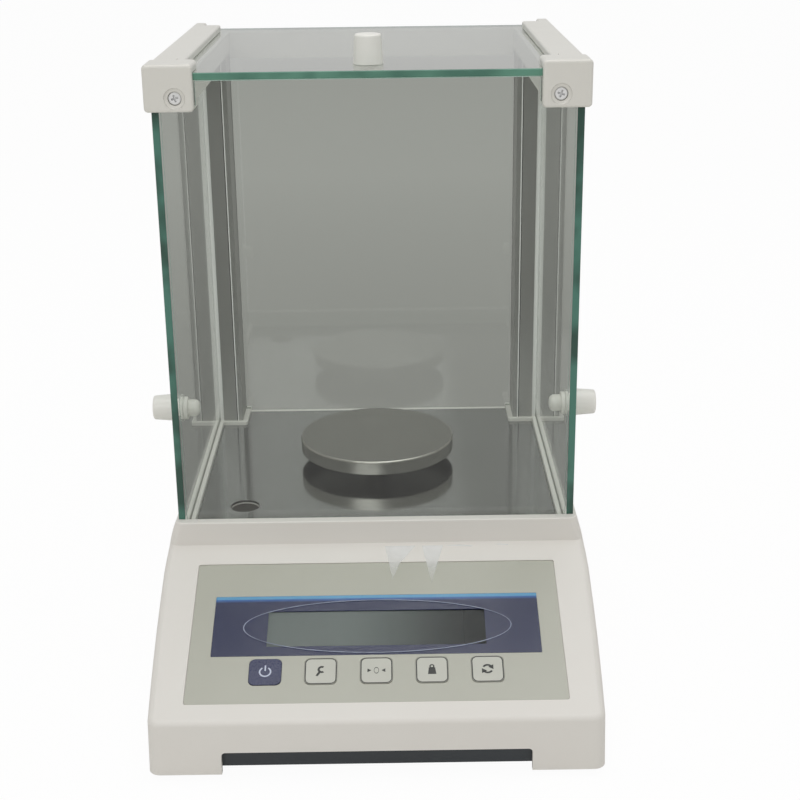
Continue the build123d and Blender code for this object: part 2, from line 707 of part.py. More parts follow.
with BuildPart() as rear_glass:
    with BuildSketch(Plane.XZ.offset(-rear_glass_y - glass)):
        with Locations((0, pane_foot_z + seat_gap)):
            Rectangle(
                2 * (rear_groove_x - slide_gap),
                rail_bottom_z - pane_foot_z - 2 * seat_gap,
                align=(Align.CENTER, Align.MIN),
            )
    extrude(amount=glass)

knob_back = 25.0            # knob centre behind the front edge of the side glasses
knob_y = shield_y + knob_back
knob_z = floor_height + 64.0
knob_height = 14.5
knob_base = 7.5
knob_tip = 6.6
side_knob_length = 13.0
bolt_radius = 2.0
bolt_clear = 0.3
glass_edge = 0.4            # bevel of the sliding glasses' ends
side_glass_x = shield_half_width
side_glass_outer_x = shield_half_width + glass

top_glass_length = top_glass_front + shield_depth + top_glass_rear
with BuildPart() as top_door_glass:
    with BuildSketch(Plane.XY.offset(top_glass_z)):
        with Locations((0, shield_y - top_glass_front)):
            Rectangle(2 * top_glass_half_width, top_glass_length, align=(Align.CENTER, Align.MIN))
        with Locations((0, knob_y)):
            Circle(bolt_radius + bolt_clear, mode=Mode.SUBTRACT)
    extrude(amount=glass)
    chamfer(top_door_glass.edges().filter_by(Axis.X), length=glass_edge)


def knob_profile(base, tip, length, hole_depth):
    """Half profile of a tapered knob with a blind hole for its bolt."""
    hole = bolt_radius + thread_clear
    with BuildSketch() as profile:
        with BuildLine():
            Polyline(
                (hole, 0),
                (base, 0),
                (tip, length),
                (0, length),
                (0, hole_depth),
                (hole, hole_depth),
                close=True,
            )
        make_face()
        fillet(profile.vertices().filter_by(lambda v: v.X > tip - 0.1 and v.Y > length / 2), radius=1.2)
        fillet(profile.vertices().filter_by(lambda v: v.X > base - 0.1 and v.Y < 0.1), radius=0.4)
    return profile.sketch


def bolt_profile(washer_radius, washer_height, dome_radius, dome_height, shank):
    """Half profile of a capped bolt with its washer; the shank points down."""
    with BuildSketch() as profile:
        with BuildLine():
            Polyline(
                (0, washer_height + dome_height),
                (0, -shank),
                (bolt_radius, -shank),
                (bolt_radius, 0),
                (washer_radius, 0),
                (washer_radius, washer_height),
                (dome_radius, washer_height),
                (dome_radius, washer_height + dome_height),
                close=True,
            )
        make_face()
        dome = profile.vertices().filter_by(lambda v: v.X > 1 and v.Y > washer_height + 0.1)
        fillet(dome, radius=0.45 * dome_height)
        fillet(profile.vertices().filter_by(lambda v: v.X > dome_radius + 0.1 and v.Y > 0.1), radius=0.5)
    return profile.sketch


bolt_reach = 7.5            # of each bolt into its knob
bolt_hole_depth = 8.0
with BuildPart() as top_door_knob:
    top_knob_plane = Plane(origin=(0, knob_y, top_glass_z + glass), x_dir=(1, 0, 0), z_dir=(0, -1, 0))
    with BuildSketch(top_knob_plane):
        add(knob_profile(knob_base, knob_tip, knob_height, bolt_hole_depth))
    revolve(axis=Axis(top_knob_plane.origin, (0, 0, 1)))

with BuildPart() as top_knob_screw:
    top_screw_plane = Plane(origin=(0, knob_y, top_glass_z), x_dir=(1, 0, 0), z_dir=(0, 1, 0))
    with BuildSketch(top_screw_plane):
        add(bolt_profile(5.0, 0.8, 3.6, 1.6, glass + bolt_reach))
    revolve(axis=Axis(top_screw_plane.origin, (0, 0, 1)))

side_glass_z = groove_z + 2 * seat_gap
side_glass_length = shield_depth - side_glass_inset
side_glass_height = side_groove_top_z - slide_gap - side_glass_z
with BuildPart() as right_door_glass:
    with BuildSketch(Plane.YZ.offset(side_glass_x)):
        with Locations((shield_y, side_glass_z)):
            Rectangle(side_glass_length, side_glass_height, align=(Align.MIN, Align.MIN))
        with Locations((knob_y, knob_z)):
            Circle(bolt_radius + bolt_clear, mode=Mode.SUBTRACT)
    extrude(amount=glass)
    chamfer(right_door_glass.edges().filter_by(Axis.Z), length=glass_edge)

with BuildPart() as right_door_knob:
    side_knob_plane = Plane(origin=(side_glass_outer_x, knob_y, knob_z), x_dir=(0, 0, 1), z_dir=(0, 1, 0))
    with BuildSketch(side_knob_plane):
        add(knob_profile(knob_base - 0.2, knob_tip - 0.3, side_knob_length, bolt_hole_depth))
    revolve(axis=Axis(side_knob_plane.origin, (1, 0, 0)))

with BuildPart() as right_knob_nut:
    side_nut_plane = Plane(origin=(side_glass_x, knob_y, knob_z), x_dir=(0, 0, 1), z_dir=(0, -1, 0))
    with BuildSketch(side_nut_plane):
        add(bolt_profile(6.0, 2.0, 4.5, 6.0, glass + bolt_reach))
    revolve(axis=Axis(side_nut_plane.origin, (1, 0, 0)))

# Weighing pan, spun from sheet, with a hub that stands on the stem
pan_z = floor_height + pan_height
stem_shoulder_z = floor_height + 3.5
hub_radius = 7.0
stem_radius = 4.0
stem_clear = 0.1
stem_length = 8.5
bore_top_z = stem_shoulder_z + stem_length + 0.2
rim_round = 1.1             # radius of the pan's upper edge
with BuildPart() as weighing_pan:
    pan_plane = Plane(origin=(0, pan_y, 0), x_dir=(1, 0, 0), z_dir=(0, -1, 0))
    with BuildSketch(pan_plane) as pan_sketch:
        with BuildLine():
            Polyline(
                (0, pan_z),
                (pan_radius, pan_z),
                (pan_radius, pan_z - pan_rim),
                (pan_radius - pan_sheet, pan_z - pan_rim),
                (pan_radius - pan_sheet, pan_z - pan_sheet),
                (hub_radius, pan_z - pan_sheet),
                (hub_radius, stem_shoulder_z),
                (stem_radius, stem_shoulder_z),
                (stem_radius, bore_top_z),
                (0, bore_top_z),
                close=True,
            )
        make_face()
        rim = pan_sketch.vertices().filter_by(lambda v: v.X > pan_radius - 0.1 and v.Y > pan_z - 0.1)
        fillet(rim, radius=rim_round)
    revolve(axis=Axis((0, pan_y, 0), (0, 0, 1)))

# Load receiver: a block that the guides lead, with the stem that carries the pan
receiver_half_width = 12.0
receiver_half_depth = 7.0
receiver_bottom_z = 17.0
receiver_top_z = 62.0
receiver_front_y = pan_y - receiver_half_depth
stem_base_radius = 6.5
with BuildPart() as load_receiver:
    with BuildSketch(Plane.XY.offset(receiver_bottom_z)):
        with Locations((0, pan_y)):
            Rectangle(2 * receiver_half_width, 2 * receiver_half_depth)
    extrude(amount=receiver_top_z - receiver_bottom_z)
    fillet(load_receiver.edges().filter_by(Axis.Z), radius=1.5)
    with BuildSketch(Plane.XY.offset(receiver_top_z)):
        with Locations((0, pan_y)):
            Circle(stem_base_radius)
    extrude(amount=stem_shoulder_z - receiver_top_z)
    with BuildSketch(Plane.XY.offset(stem_shoulder_z)):
        with Locations((0, pan_y)):
            Circle(stem_radius - stem_clear)
    extrude(amount=stem_length)
    chamfer(load_receiver.edges().group_by(Axis.Z)[-1], length=0.8)

# Weighing cell: frame, two parallel guides, lever, coil and magnet
guide_gap = 0.5             # open joint between a guide and the receiver
guide_sheet = 1.2
guide_tail = 8.0            # clamped end of each guide
guide_arm = 54.0            # from the guides' hinge line to the receiver
lower_guide_z = 20.0
upper_guide_z = 57.0
guide_hinge_y = receiver_front_y - guide_gap - guide_arm
guide_half_width = 11.0
guide_window_corner = 3.0
post_inner_x = 16.0
post_outer_x = 28.0
hinge_gap = 0.3
cell_base_z = tray_top_z
cell_base = 5.0             # thickness of the frame's base
cell_base_top_z = cell_base_z + cell_base
lever_pin_z = 47.0
lever_pin_radius = 1.5
fulcrum_inner_x = 14.0
fulcrum_outer_x = 20.0
fulcrum_round = 5.0         # of the cheeks round the pin
magnet_y = lever_y - 55.0
magnet_radius = 18.0
magnet_top_z = 38.0
cell_margin = 4.0           # of the frame's base round the magnet and the posts
cell_corner = 5.0
cell_front_y = magnet_y - magnet_radius - cell_margin
cell_rear_y = receiver_front_y + 16.0
with BuildPart() as cell_frame:
    with BuildSketch(Plane.XY.offset(cell_base_z)):
        with Locations((0, cell_front_y)):
            Rectangle(
                2 * (post_outer_x + cell_margin),
                cell_rear_y - cell_front_y,
                align=(Align.CENTER, Align.MIN),
            )
    extrude(amount=cell_base_top_z - cell_base_z)
    fillet(cell_frame.edges().filter_by(Axis.Z), radius=cell_corner)
    # posts under the guides' clamped ends
    with BuildSketch(Plane.XY.offset(cell_base_top_z)):
        for side in (-1, 1):
            with Locations((side * (post_inner_x + post_outer_x) / 2, guide_hinge_y - guide_tail / 2)):
                Rectangle(post_outer_x - post_inner_x, guide_tail)
    extrude(amount=upper_guide_z - hinge_gap - cell_base_top_z)
    with BuildSketch(Plane.XY.offset(cell_base_top_z)):
        with Locations((0, guide_hinge_y - guide_tail / 2)):
            Rectangle(2 * post_inner_x, guide_tail)
    extrude(amount=lower_guide_z - hinge_gap - cell_base_top_z)
    # cheeks that hold the lever's pin
    with BuildSketch(Plane.XY.offset(cell_base_top_z)):
        for side in (-1, 1):
            with Locations((side * (fulcrum_inner_x + fulcrum_outer_x) / 2, lever_y)):
                Rectangle(fulcrum_outer_x - fulcrum_inner_x, 2 * fulcrum_round)
    extrude(amount=lever_pin_z + fulcrum_round - cell_base_top_z)
    with BuildSketch(Plane.YZ):
        with Locations((lever_y, lever_pin_z)):
            Circle(lever_pin_radius)
    extrude(amount=fulcrum_outer_x + 1, both=True, mode=Mode.SUBTRACT)

with BuildPart() as lever_pin:
    with BuildSketch(Plane.YZ):
        with Locations((lever_y, lever_pin_z)):
            Circle(lever_pin_radius)
    extrude(amount=fulcrum_outer_x, both=True)

with BuildPart() as magnet_pot:
    coil_inner = 11.8
    coil_outer = 13.6
    air_gap = 1.2
    gap_bottom_z = cell_base_top_z + 5.0
    magnet_plane = Plane(origin=(0, magnet_y, 0), x_dir=(1, 0, 0), z_dir=(0, -1, 0))
    with BuildSketch(magnet_plane):
        with BuildLine():
            Polyline(
                (0, cell_base_top_z),
                (magnet_radius, cell_base_top_z),
                (magnet_radius, magnet_top_z),
                (coil_outer + air_gap, magnet_top_z),
                (coil_outer + air_gap, gap_bottom_z),
                (coil_inner - air_gap, gap_bottom_z),
                (coil_inner - air_gap, magnet_top_z),
                (0, magnet_top_z),
                close=True,
            )
        make_face()
    revolve(axis=Axis((0, magnet_y, 0), (0, 0, 1)))

lever_bottom_z = lever_pin_z - 3.0
lever_half_width = 5.0
coil_bottom_z = gap_bottom_z + 4.0
former = 1.2                # thickness of the coil's lid
with BuildPart() as coil:
    with BuildSketch(magnet_plane):
        with BuildLine():
            Polyline(
                (0, lever_bottom_z),
                (coil_outer, lever_bottom_z),
                (coil_outer, coil_bottom_z),
                (coil_inner, coil_bottom_z),
                (coil_inner, lever_bottom_z - former),
                (0, lever_bottom_z - former),
                close=True,
            )
        make_face()
    revolve(axis=Axis((0, magnet_y, 0), (0, 0, 1)))

lever_gap = 0.7             # open joint between the lever and the receiver
with BuildPart() as balance_lever:
    lever_end_y = receiver_front_y - lever_gap
    with BuildSketch(Plane.YZ):
        with BuildLine():
            Polyline(
                (magnet_y - coil_outer, lever_bottom_z),
                (lever_end_y, lever_bottom_z),
                (lever_end_y, lever_pin_z + 1),
                (lever_y + 6, lever_pin_z + 4),
                (lever_y - 6, lever_pin_z + 4),
                (magnet_y - coil_outer, lever_pin_z),
                close=True,
            )
        make_face()
        with Locations((lever_y, lever_pin_z)):
            Circle(lever_pin_radius + thread_clear, mode=Mode.SUBTRACT)
    extrude(amount=lever_half_width, both=True)
    fillet(balance_lever.edges().filter_by(Axis.Z), radius=1)

with BuildPart() as upper_guide:
    with BuildSketch(Plane.XY.offset(upper_guide_z)):
        with Locations((0, guide_hinge_y)):
            Rectangle(2 * guide_half_width, guide_arm, align=(Align.CENTER, Align.MIN))
            Rectangle(2 * post_outer_x, guide_tail, align=(Align.CENTER, Align.MAX))
        with Locations((0, guide_hinge_y + guide_arm / 2)):
            RectangleRounded(guide_half_width, 0.6 * guide_arm, guide_window_corner, mode=Mode.SUBTRACT)
    extrude(amount=guide_sheet)

with BuildPart() as lower_guide:
    with BuildSketch(Plane.XY.offset(lower_guide_z)):
        with Locations((0, guide_hinge_y - guide_tail)):
            Rectangle(2 * guide_half_width, guide_arm + guide_tail, align=(Align.CENTER, Align.MIN))
        with Locations((0, guide_hinge_y + guide_arm / 2)):
            RectangleRounded(guide_half_width, 0.6 * guide_arm, guide_window_corner, mode=Mode.SUBTRACT)
    extrude(amount=guide_sheet)

# Bubble level, hung under the chamber floor
cup_wall = 1.6
cup_flange = 5.0
cup_flange_height = 2.0
cup_depth = 11.0
cup_floor = 2.0
with BuildPart() as level_cup:
    with BuildSketch(Plane.XY.offset(roof_z)):
        with Locations((level_x, level_y)):
            Circle(level_hole_radius + cup_flange)
    extrude(amount=-cup_flange_height)
    with BuildSketch(Plane.XY.offset(roof_z)):
        with Locations((level_x, level_y)):
            Circle(level_hole_radius + cup_wall)
    extrude(amount=-cup_depth - cup_floor)
    with BuildSketch(Plane.XY.offset(roof_z)):
        with Locations((level_x, level_y)):
            Circle(level_hole_radius)
    extrude(amount=-cup_depth, mode=Mode.SUBTRACT)

with BuildPart() as level_glass:
    vial_top_z = floor_height - 1.5
    vial_bottom_z = roof_z - cup_depth
    with BuildSketch(Plane.XY.offset(vial_bottom_z)):
        with Locations((level_x, level_y)):
            Circle(level_hole_radius - slide_gap)
    extrude(amount=vial_top_z - vial_bottom_z)
    fillet(level_glass.edges().group_by(Axis.Z)[-1], radius=1)

# Control panel: overlay, bezel, display and keys, all square to the slope
key_window = key_size + 2 * slide_gap
bezel_window = bezel_width + seat_gap
bezel_window_height = bezel_height + seat_gap
with BuildPart() as control_overlay:
    with BuildSketch(panel.offset(-overlay_recess)):
        with Locations((0, -overlay_start - overlay_height / 2)):
            RectangleRounded(overlay_width, overlay_height, overlay_corner)
        with Locations((0, -bezel_start - bezel_height / 2)):
            RectangleRounded(bezel_window, bezel_window_height, bezel_corner, mode=Mode.SUBTRACT)
        with Locations(*key_places):
            RectangleRounded(key_window, key_window, key_corner, mode=Mode.SUBTRACT)
    extrude(amount=overlay_thickness)

with BuildPart() as display_bezel:
    with BuildSketch(panel.offset(-overlay_recess)):
        with Locations((0, -bezel_start - bezel_height / 2)):
            RectangleRounded(bezel_width, bezel_height, bezel_corner)
        with Locations((0, -lcd_line)):
            Rectangle(lcd_width, lcd_height, mode=Mode.SUBTRACT)
    extrude(amount=overlay_thickness)

lcd_top = overlay_recess + 0.1
lcd_thickness = 2.8
lcd_glass_width = lcd_opening_width - 1
lcd_glass_height = lcd_opening_height - 1
holder_rim = 3.0            # of the frame that carries the display's edges
with BuildPart() as lcd_glass:
    with BuildSketch(panel.offset(-lcd_top)):
        with Locations((0, -lcd_line)):
            Rectangle(lcd_glass_width, lcd_glass_height)
    extrude(amount=-lcd_thickness)

with BuildPart() as lcd_holder:
    with BuildSketch(panel.offset(-lcd_top - lcd_thickness)):
        with Locations((0, -lcd_line)):
            Rectangle(lcd_glass_width, lcd_glass_height)
            Rectangle(lcd_width - 2 * holder_rim, lcd_height - 2 * holder_rim, mode=Mode.SUBTRACT)
    extrude(amount=-(board_drop - lcd_top - lcd_thickness))

with BuildPart() as panel_board:
    with BuildSketch(panel.offset(-board_drop)):
        with Locations((0, -board_center)):
            RectangleRounded(board_width, board_height, 2)
        with Locations(*post_places):
            Circle(screw_clear, mode=Mode.SUBTRACT)
    extrude(amount=-pcb)

switch_top = 4.6            # of the keys' plungers below the panel's face
switch_size = 6.0
button_radius = 1.75        # of the switches' own buttons
with BuildPart() as key_switches:
    with BuildSketch(panel.offset(-board_drop)):
        with Locations(*key_places):
            Rectangle(switch_size, switch_size)
    extrude(amount=board_drop - switch_top - 1)
    with BuildSketch(panel.offset(-switch_top - key_travel - 0.1)):
        with Locations(*key_places):
            Circle(button_radius)
    extrude(amount=-(board_drop - switch_top) / 2)

key_flange_drop = 1.6
keys = {}
for key_name, key_place in zip(key_names, key_places):
    with BuildPart() as key:
        with BuildSketch(panel.offset(-key_flange_drop)):
            with Locations(key_place):
                RectangleRounded(key_size, key_size, key_corner)
        extrude(amount=key_flange_drop)
        with BuildSketch(panel.offset(-key_flange_drop)):
            with Locations(key_place):
                RectangleRounded(key_pocket - 2 * slide_gap, key_pocket - 2 * slide_gap, key_corner)
        extrude(amount=key_flange_drop - overlay_recess - 0.1)
        with BuildSketch(panel.offset(-key_flange_drop)):
            with Locations(key_place):
                Circle(plunger_radius)
        extrude(amount=-(switch_top - key_flange_drop))
    keys[key_name] = key

# Main board with the connectors at its rear edge
with BuildPart() as main_board:
    with BuildSketch(Plane.XY.offset(board_z)):
        with Locations((0, main_board_y)):
            RectangleRounded(main_board_width, main_board_depth, 2)
        with Locations(*standoff_places):
            Circle(screw_clear, mode=Mode.SUBTRACT)
    extrude(amount=pcb)

connector_y = tray_rear_y - plate_inset - tray_wall     # inner face of the connector plate
connector_tip_y = tray_rear_y + 1.6
connector_on_board = 10.0                               # of each connector over the board
connector_body = connector_y - main_board_y - main_board_depth / 2 + connector_on_board
jack_width = 12.0
jack_height = 11.0
serial_width = 31.0
serial_height = 12.5
jack_bore = 2.75
jack_pin = 0.95
with BuildPart() as power_jack:
    with BuildSketch(Plane.XZ.offset(-connector_y)):
        with Locations((jack_x, jack_z)):
            Rectangle(jack_width, jack_height)
    extrude(amount=connector_body)
    with BuildSketch(Plane.XZ.offset(-connector_y)):
        with Locations((jack_x, jack_z)):
            Circle(jack_radius)
    extrude(amount=connector_y - connector_tip_y)
    with BuildSketch(Plane.XZ.offset(-connector_tip_y)):
        with Locations((jack_x, jack_z)):
            Circle(jack_bore)
            Circle(jack_pin, mode=Mode.SUBTRACT)
    extrude(amount=9, mode=Mode.SUBTRACT)

shell_wall = 0.7
plug_gap = 1.2              # between the shell and the port's insert
with BuildPart() as serial_port:
    with BuildSketch(Plane.XZ.offset(-connector_y)):
        with Locations((serial_x, serial_z)):
            Rectangle(serial_width, serial_height)
    extrude(amount=connector_body)
    with BuildSketch(Plane.XZ.offset(-connector_y)):
        with Locations((serial_x, serial_z)):
            RectangleRounded(serial_shell, serial_shell_height, 2)
        with Locations(*serial_screw_places):
            Circle(serial_screw_radius)
    extrude(amount=connector_y - connector_tip_y)
    with BuildSketch(Plane.XZ.offset(-connector_tip_y)):
        with Locations((serial_x, serial_z)):
            inside = 2 * shell_wall
            insert = inside + 2 * plug_gap
            RectangleRounded(serial_shell - inside, serial_shell_height - inside, 1.4)
            RectangleRounded(serial_shell - insert, serial_shell_height - insert, 1, mode=Mode.SUBTRACT)
    extrude(amount=5, mode=Mode.SUBTRACT)

# Feet: two rubber ones in front and two levelling screws at the rear
front_foot_radius = 9.0
foot_edge = 0.8             # bevel of the feet's lower edges
with BuildPart() as front_feet:
    with BuildSketch(Plane.XY):
        with Locations(*plug_places):
            Circle(front_foot_radius)
    extrude(amount=tray_z)
    chamfer(front_feet.edges().group_by(Axis.Z)[0], length=foot_edge)
    with BuildSketch(Plane.XY.offset(tray_z)):
        with Locations(*plug_places):
            Circle(foot_plug_radius)
    extrude(amount=tray_plate + 1.5)

pad_radius = 10.0
pad_height = 4.0
socket_z = 2.4
wheel_radius = 16.0
wheel_z = 8.0
wheel_height = 5.0
stud_length = 32.0
notch_count = 24
notch_radius = 1.6
bush_flange = 2.5
bush_flange_height = 3.0
with BuildPart() as right_foot_pad:
    with BuildSketch(Plane.XY):
        with Locations((foot_x, foot_rear_y)):
            Circle(pad_radius)
    extrude(amount=pad_height)
    chamfer(right_foot_pad.edges().group_by(Axis.Z)[0], length=foot_edge)
    with BuildSketch(Plane.XY.offset(socket_z)):
        with Locations((foot_x, foot_rear_y)):
            Circle(stud_radius + 0.3)
    extrude(amount=pad_height, mode=Mode.SUBTRACT)

with BuildPart() as right_foot_screw:
    with BuildSketch(Plane.XY.offset(socket_z + 0.1)):
        with Locations((foot_x, foot_rear_y)):
            Circle(stud_radius)
    extrude(amount=stud_length)
    with BuildSketch(Plane.XY.offset(wheel_z)):
        with Locations((foot_x, foot_rear_y)):
            Circle(wheel_radius)
            with PolarLocations(wheel_radius + notch_radius / 2, notch_count):
                Circle(notch_radius, mode=Mode.SUBTRACT)
    extrude(amount=wheel_height)

with BuildPart() as foot_bushes:
    with BuildSketch(Plane.XY.offset(pocket_roof_z)):
        with Locations(*foot_places):
            Circle(bush_radius)
    extrude(amount=pocket_wall)
    with BuildSketch(Plane.XY.offset(pocket_roof_z + pocket_wall)):
        with Locations(*foot_places):
            Circle(bush_radius + bush_flange)
    extrude(amount=bush_flange_height)
    with BuildSketch(Plane.XY.offset(pocket_roof_z)):
        with Locations(*foot_places):
            Circle(stud_radius + stud_clear)
    extrude(amount=pocket_wall + bush_flange_height, mode=Mode.SUBTRACT)

# Screws of the shield's frame: corner blocks, rear caps and columns
front_seat_y = block_front_y + frame_seat
front_shank = block_rear_y + front_screw_reach - front_seat_y
rear_head_height = 2.0
port_seat_z = top_glass_z - slide_gap - port_head_seat
port_shank = 24.0
with BuildPart() as frame_screws:
    for side in (-1, 1):
        frame_place = (side * frame_screw_x, frame_screw_z)
        port_place = (side * column_port_x, column_port_y)
        with BuildSketch(Plane.XZ.offset(-front_seat_y)):
            with Locations(frame_place):
                Circle(frame_head)
        extrude(amount=frame_head_height)
        with BuildSketch(Plane.XZ.offset(-front_seat_y)):
            with Locations(frame_place):
                Circle(screw_radius)
        extrude(amount=-front_shank)
        with BuildSketch(Plane.XZ.offset(-shield_rear_y)):
            with Locations(frame_place):
                Circle(frame_head)
        extrude(amount=-rear_head_height)
        with BuildSketch(Plane.XZ.offset(-shield_rear_y)):
            with Locations(frame_place):
                Circle(screw_radius)
        extrude(amount=cap_thickness + rear_screw_reach)
        with BuildSketch(Plane.XY.offset(port_seat_z)):
            with Locations(port_place):
                Circle(port_head_radius)
        extrude(amount=port_head_height)
        with BuildSketch(Plane.XY.offset(port_seat_z)):
            with Locations(port_place):
                Circle(screw_radius)
        extrude(amount=-port_shank)
        with BuildSketch(Plane.XY.offset(side_roof_z)):
            with Locations(port_place):
                Circle(port_head_radius)
        extrude(amount=-port_head_seat)
        with BuildSketch(Plane.XY.offset(side_roof_z)):
            with Locations(port_place):
                Circle(screw_radius)
        extrude(amount=port_shank)

# Screws of the housing, the boards and the panel
small_head_radius = 2.6
small_head_height = 1.6
board_screw_length = 8.0
panel_screw_length = 6.0
thread_radius = pilot - 0.01
with BuildPart() as housing_screws:
    with BuildSketch(Plane.XY.offset(tray_z)):
        with Locations(*pillar_places):
            Circle(head_radius)
    extrude(amount=head_height)
    with BuildSketch(Plane.XY.offset(tray_z)):
        with Locations(*pillar_places):
            Circle(thread_radius)
    extrude(amount=tray_plate + pillar_pilot_depth - screw_end_gap)
    with BuildSketch(Plane.XY.offset(board_z + pcb)):
        with Locations(*standoff_places):
            Circle(small_head_radius)
    extrude(amount=small_head_height)
    with BuildSketch(Plane.XY.offset(board_z + pcb)):
        with Locations(*standoff_places):
            Circle(thread_radius)
    extrude(amount=-board_screw_length)
    with BuildSketch(panel.offset(-board_drop - pcb)):
        with Locations(*post_places):
            Circle(small_head_radius)
    extrude(amount=-small_head_height)
    with BuildSketch(panel.offset(-board_drop - pcb)):
        with Locations(*post_places):
            Circle(thread_radius)
    extrude(amount=panel_screw_length)

pieces = {
    "upper_housing": upper_housing.part,
    "bottom_tray": bottom_tray.part,
    "chamber_floor": chamber_floor.part,
    "control_overlay": control_overlay.part,
    "display_bezel": display_bezel.part,
    "lcd_glass": lcd_glass.part,
    "lcd_holder": lcd_holder.part,
    "panel_board": panel_board.part,
    "key_switches": key_switches.part,
    "main_board": main_board.part,
    "power_jack": power_jack.part,
    "serial_port": serial_port.part,
    "cell_frame": cell_frame.part,
    "magnet_pot": magnet_pot.part,
    "upper_guide": upper_guide.part,
    "lower_guide": lower_guide.part,
    "balance_lever": balance_lever.part,
    "coil": coil.part,
    "lever_pin": lever_pin.part,
    "load_receiver": load_receiver.part,
    "weighing_pan": weighing_pan.part,
    "level_cup": level_cup.part,
    "level_glass": level_glass.part,
    "front_feet": front_feet.part,
    "foot_bushes": foot_bushes.part,
    "rear_crossbar": rear_crossbar.part,
    "front_glass": front_glass.part,
    "rear_glass": rear_glass.part,
    "top_door_glass": top_door_glass.part,
    "top_door_knob": top_door_knob.part,
    "top_knob_screw": top_knob_screw.part,
    "frame_screws": frame_screws.part,
    "housing_screws": housing_screws.part,
}
for key_name, key in keys.items():
    pieces[key_name] = key.part
right_pieces = {
    "foot_pad": right_foot_pad,
    "foot_screw": right_foot_screw,
    "door_guide": right_door_guide,
    "column_foot": right_column_foot,
    "column": right_column,
    "top_rail": right_top_rail,
    "rear_cap": right_rear_cap,
    "front_block": right_front_block,
    "door_glass": right_door_glass,
    "door_knob": right_door_knob,
    "knob_nut": right_knob_nut,
}
for piece_name, piece in right_pieces.items():
    pieces["right_" + piece_name] = piece.part
    pieces["left_" + piece_name] = mirror(piece.part, about=Plane.YZ)

for piece_name, piece in pieces.items():
    piece.label = piece_name
    export_step(piece, f"parts/{piece_name}.step")
print(len(pieces), "pieces written")
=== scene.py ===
# Looks of a jewelry scale with a glass draft shield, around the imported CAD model
import math

import bmesh
import bpy
from mathutils import Matrix, Vector


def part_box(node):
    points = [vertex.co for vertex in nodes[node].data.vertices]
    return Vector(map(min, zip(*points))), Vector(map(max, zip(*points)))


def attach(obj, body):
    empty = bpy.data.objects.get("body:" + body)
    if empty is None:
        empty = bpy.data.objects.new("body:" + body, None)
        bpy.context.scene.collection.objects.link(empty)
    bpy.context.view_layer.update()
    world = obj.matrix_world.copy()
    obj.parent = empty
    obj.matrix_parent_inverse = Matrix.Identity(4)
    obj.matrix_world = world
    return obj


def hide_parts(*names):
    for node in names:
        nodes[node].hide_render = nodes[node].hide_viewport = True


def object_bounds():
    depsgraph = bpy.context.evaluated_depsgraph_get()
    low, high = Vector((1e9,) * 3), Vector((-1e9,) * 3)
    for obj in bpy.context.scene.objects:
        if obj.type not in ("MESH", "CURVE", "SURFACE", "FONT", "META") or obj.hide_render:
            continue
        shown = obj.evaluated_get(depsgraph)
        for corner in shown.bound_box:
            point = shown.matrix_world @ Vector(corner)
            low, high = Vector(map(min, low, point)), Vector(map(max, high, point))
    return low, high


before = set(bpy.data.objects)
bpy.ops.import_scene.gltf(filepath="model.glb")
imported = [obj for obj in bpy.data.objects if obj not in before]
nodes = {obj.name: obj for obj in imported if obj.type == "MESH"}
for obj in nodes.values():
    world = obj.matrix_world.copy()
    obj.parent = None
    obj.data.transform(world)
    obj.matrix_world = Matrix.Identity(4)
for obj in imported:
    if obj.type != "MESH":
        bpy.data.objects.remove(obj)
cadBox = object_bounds()
mm = 0.001


# Colours and nodes

def linear(hexCode):
    values = [int(hexCode[i:i + 2], 16) / 255 for i in (0, 2, 4)]
    return tuple(v / 12.92 if v <= 0.04045 else ((v + 0.055) / 1.055) ** 2.4 for v in values) + (1.0,)


def addNode(tree, kind, inputs=None, **settings):
    node = tree.nodes.new(kind)
    for name, value in settings.items():
        setattr(node, name, value)
    for name, value in (inputs or {}).items():
        if isinstance(value, bpy.types.NodeSocket):
            tree.links.new(value, node.inputs[name])
        else:
            node.inputs[name].default_value = value
    return node


def startMaterial(name):
    material = bpy.data.materials.new(name)
    material.use_nodes = True
    tree = material.node_tree
    tree.nodes.clear()
    return material, tree, addNode(tree, "ShaderNodeTexCoord").outputs["Object"]


def endMaterial(tree, shader):
    addNode(tree, "ShaderNodeOutputMaterial", {"Surface": shader})


def mixed(tree, factor, low, high):  # a colour between two colours
    return addNode(tree, "ShaderNodeMix", {0: factor, 6: low, 7: high}, data_type="RGBA").outputs[2]


def spread(tree, value, low, high, start=0.0, end=1.0):  # a value of start to end as a value from low to high
    return addNode(tree, "ShaderNodeMapRange", {
        "Value": value, "From Min": start, "From Max": end, "To Min": low, "To Max": high}).outputs["Result"]


def worked(tree, operation, first, second=0.0):  # one step of arithmetic
    return addNode(tree, "ShaderNodeMath", {0: first, 1: second}, operation=operation).outputs[0]


def noise(tree, place, size, detail):  # a value about 0.5 in patches of this size
    return addNode(tree, "ShaderNodeTexNoise", {
        "Vector": place, "Scale": 1 / size, "Detail": detail}).outputs["Fac"]


def bumped(tree, height, strength, depth):
    return addNode(tree, "ShaderNodeBump", {
        "Height": height, "Strength": strength, "Distance": depth}).outputs["Normal"]


def axisOf(tree, place, letter):
    return addNode(tree, "ShaderNodeSeparateXYZ", {0: place}).outputs[letter]


def ramped(tree, value, spots, interpolation="LINEAR"):  # colours over 0 to 1, each spot a place and a colour
    ramp = addNode(tree, "ShaderNodeValToRGB", {"Fac": value})
    ramp.color_ramp.interpolation = interpolation
    elements = ramp.color_ramp.elements
    elements.remove(elements[1])
    elements[0].position, elements[0].color = spots[0]
    for position, colour in spots[1:]:
        elements.new(position).color = colour
    return ramp.outputs[0]


# Plastics: a moulded grain, a faint cloud in the colour and a sheen that varies with the grain

grainDepth = 0.1 * mm
grainSheen = 0.05


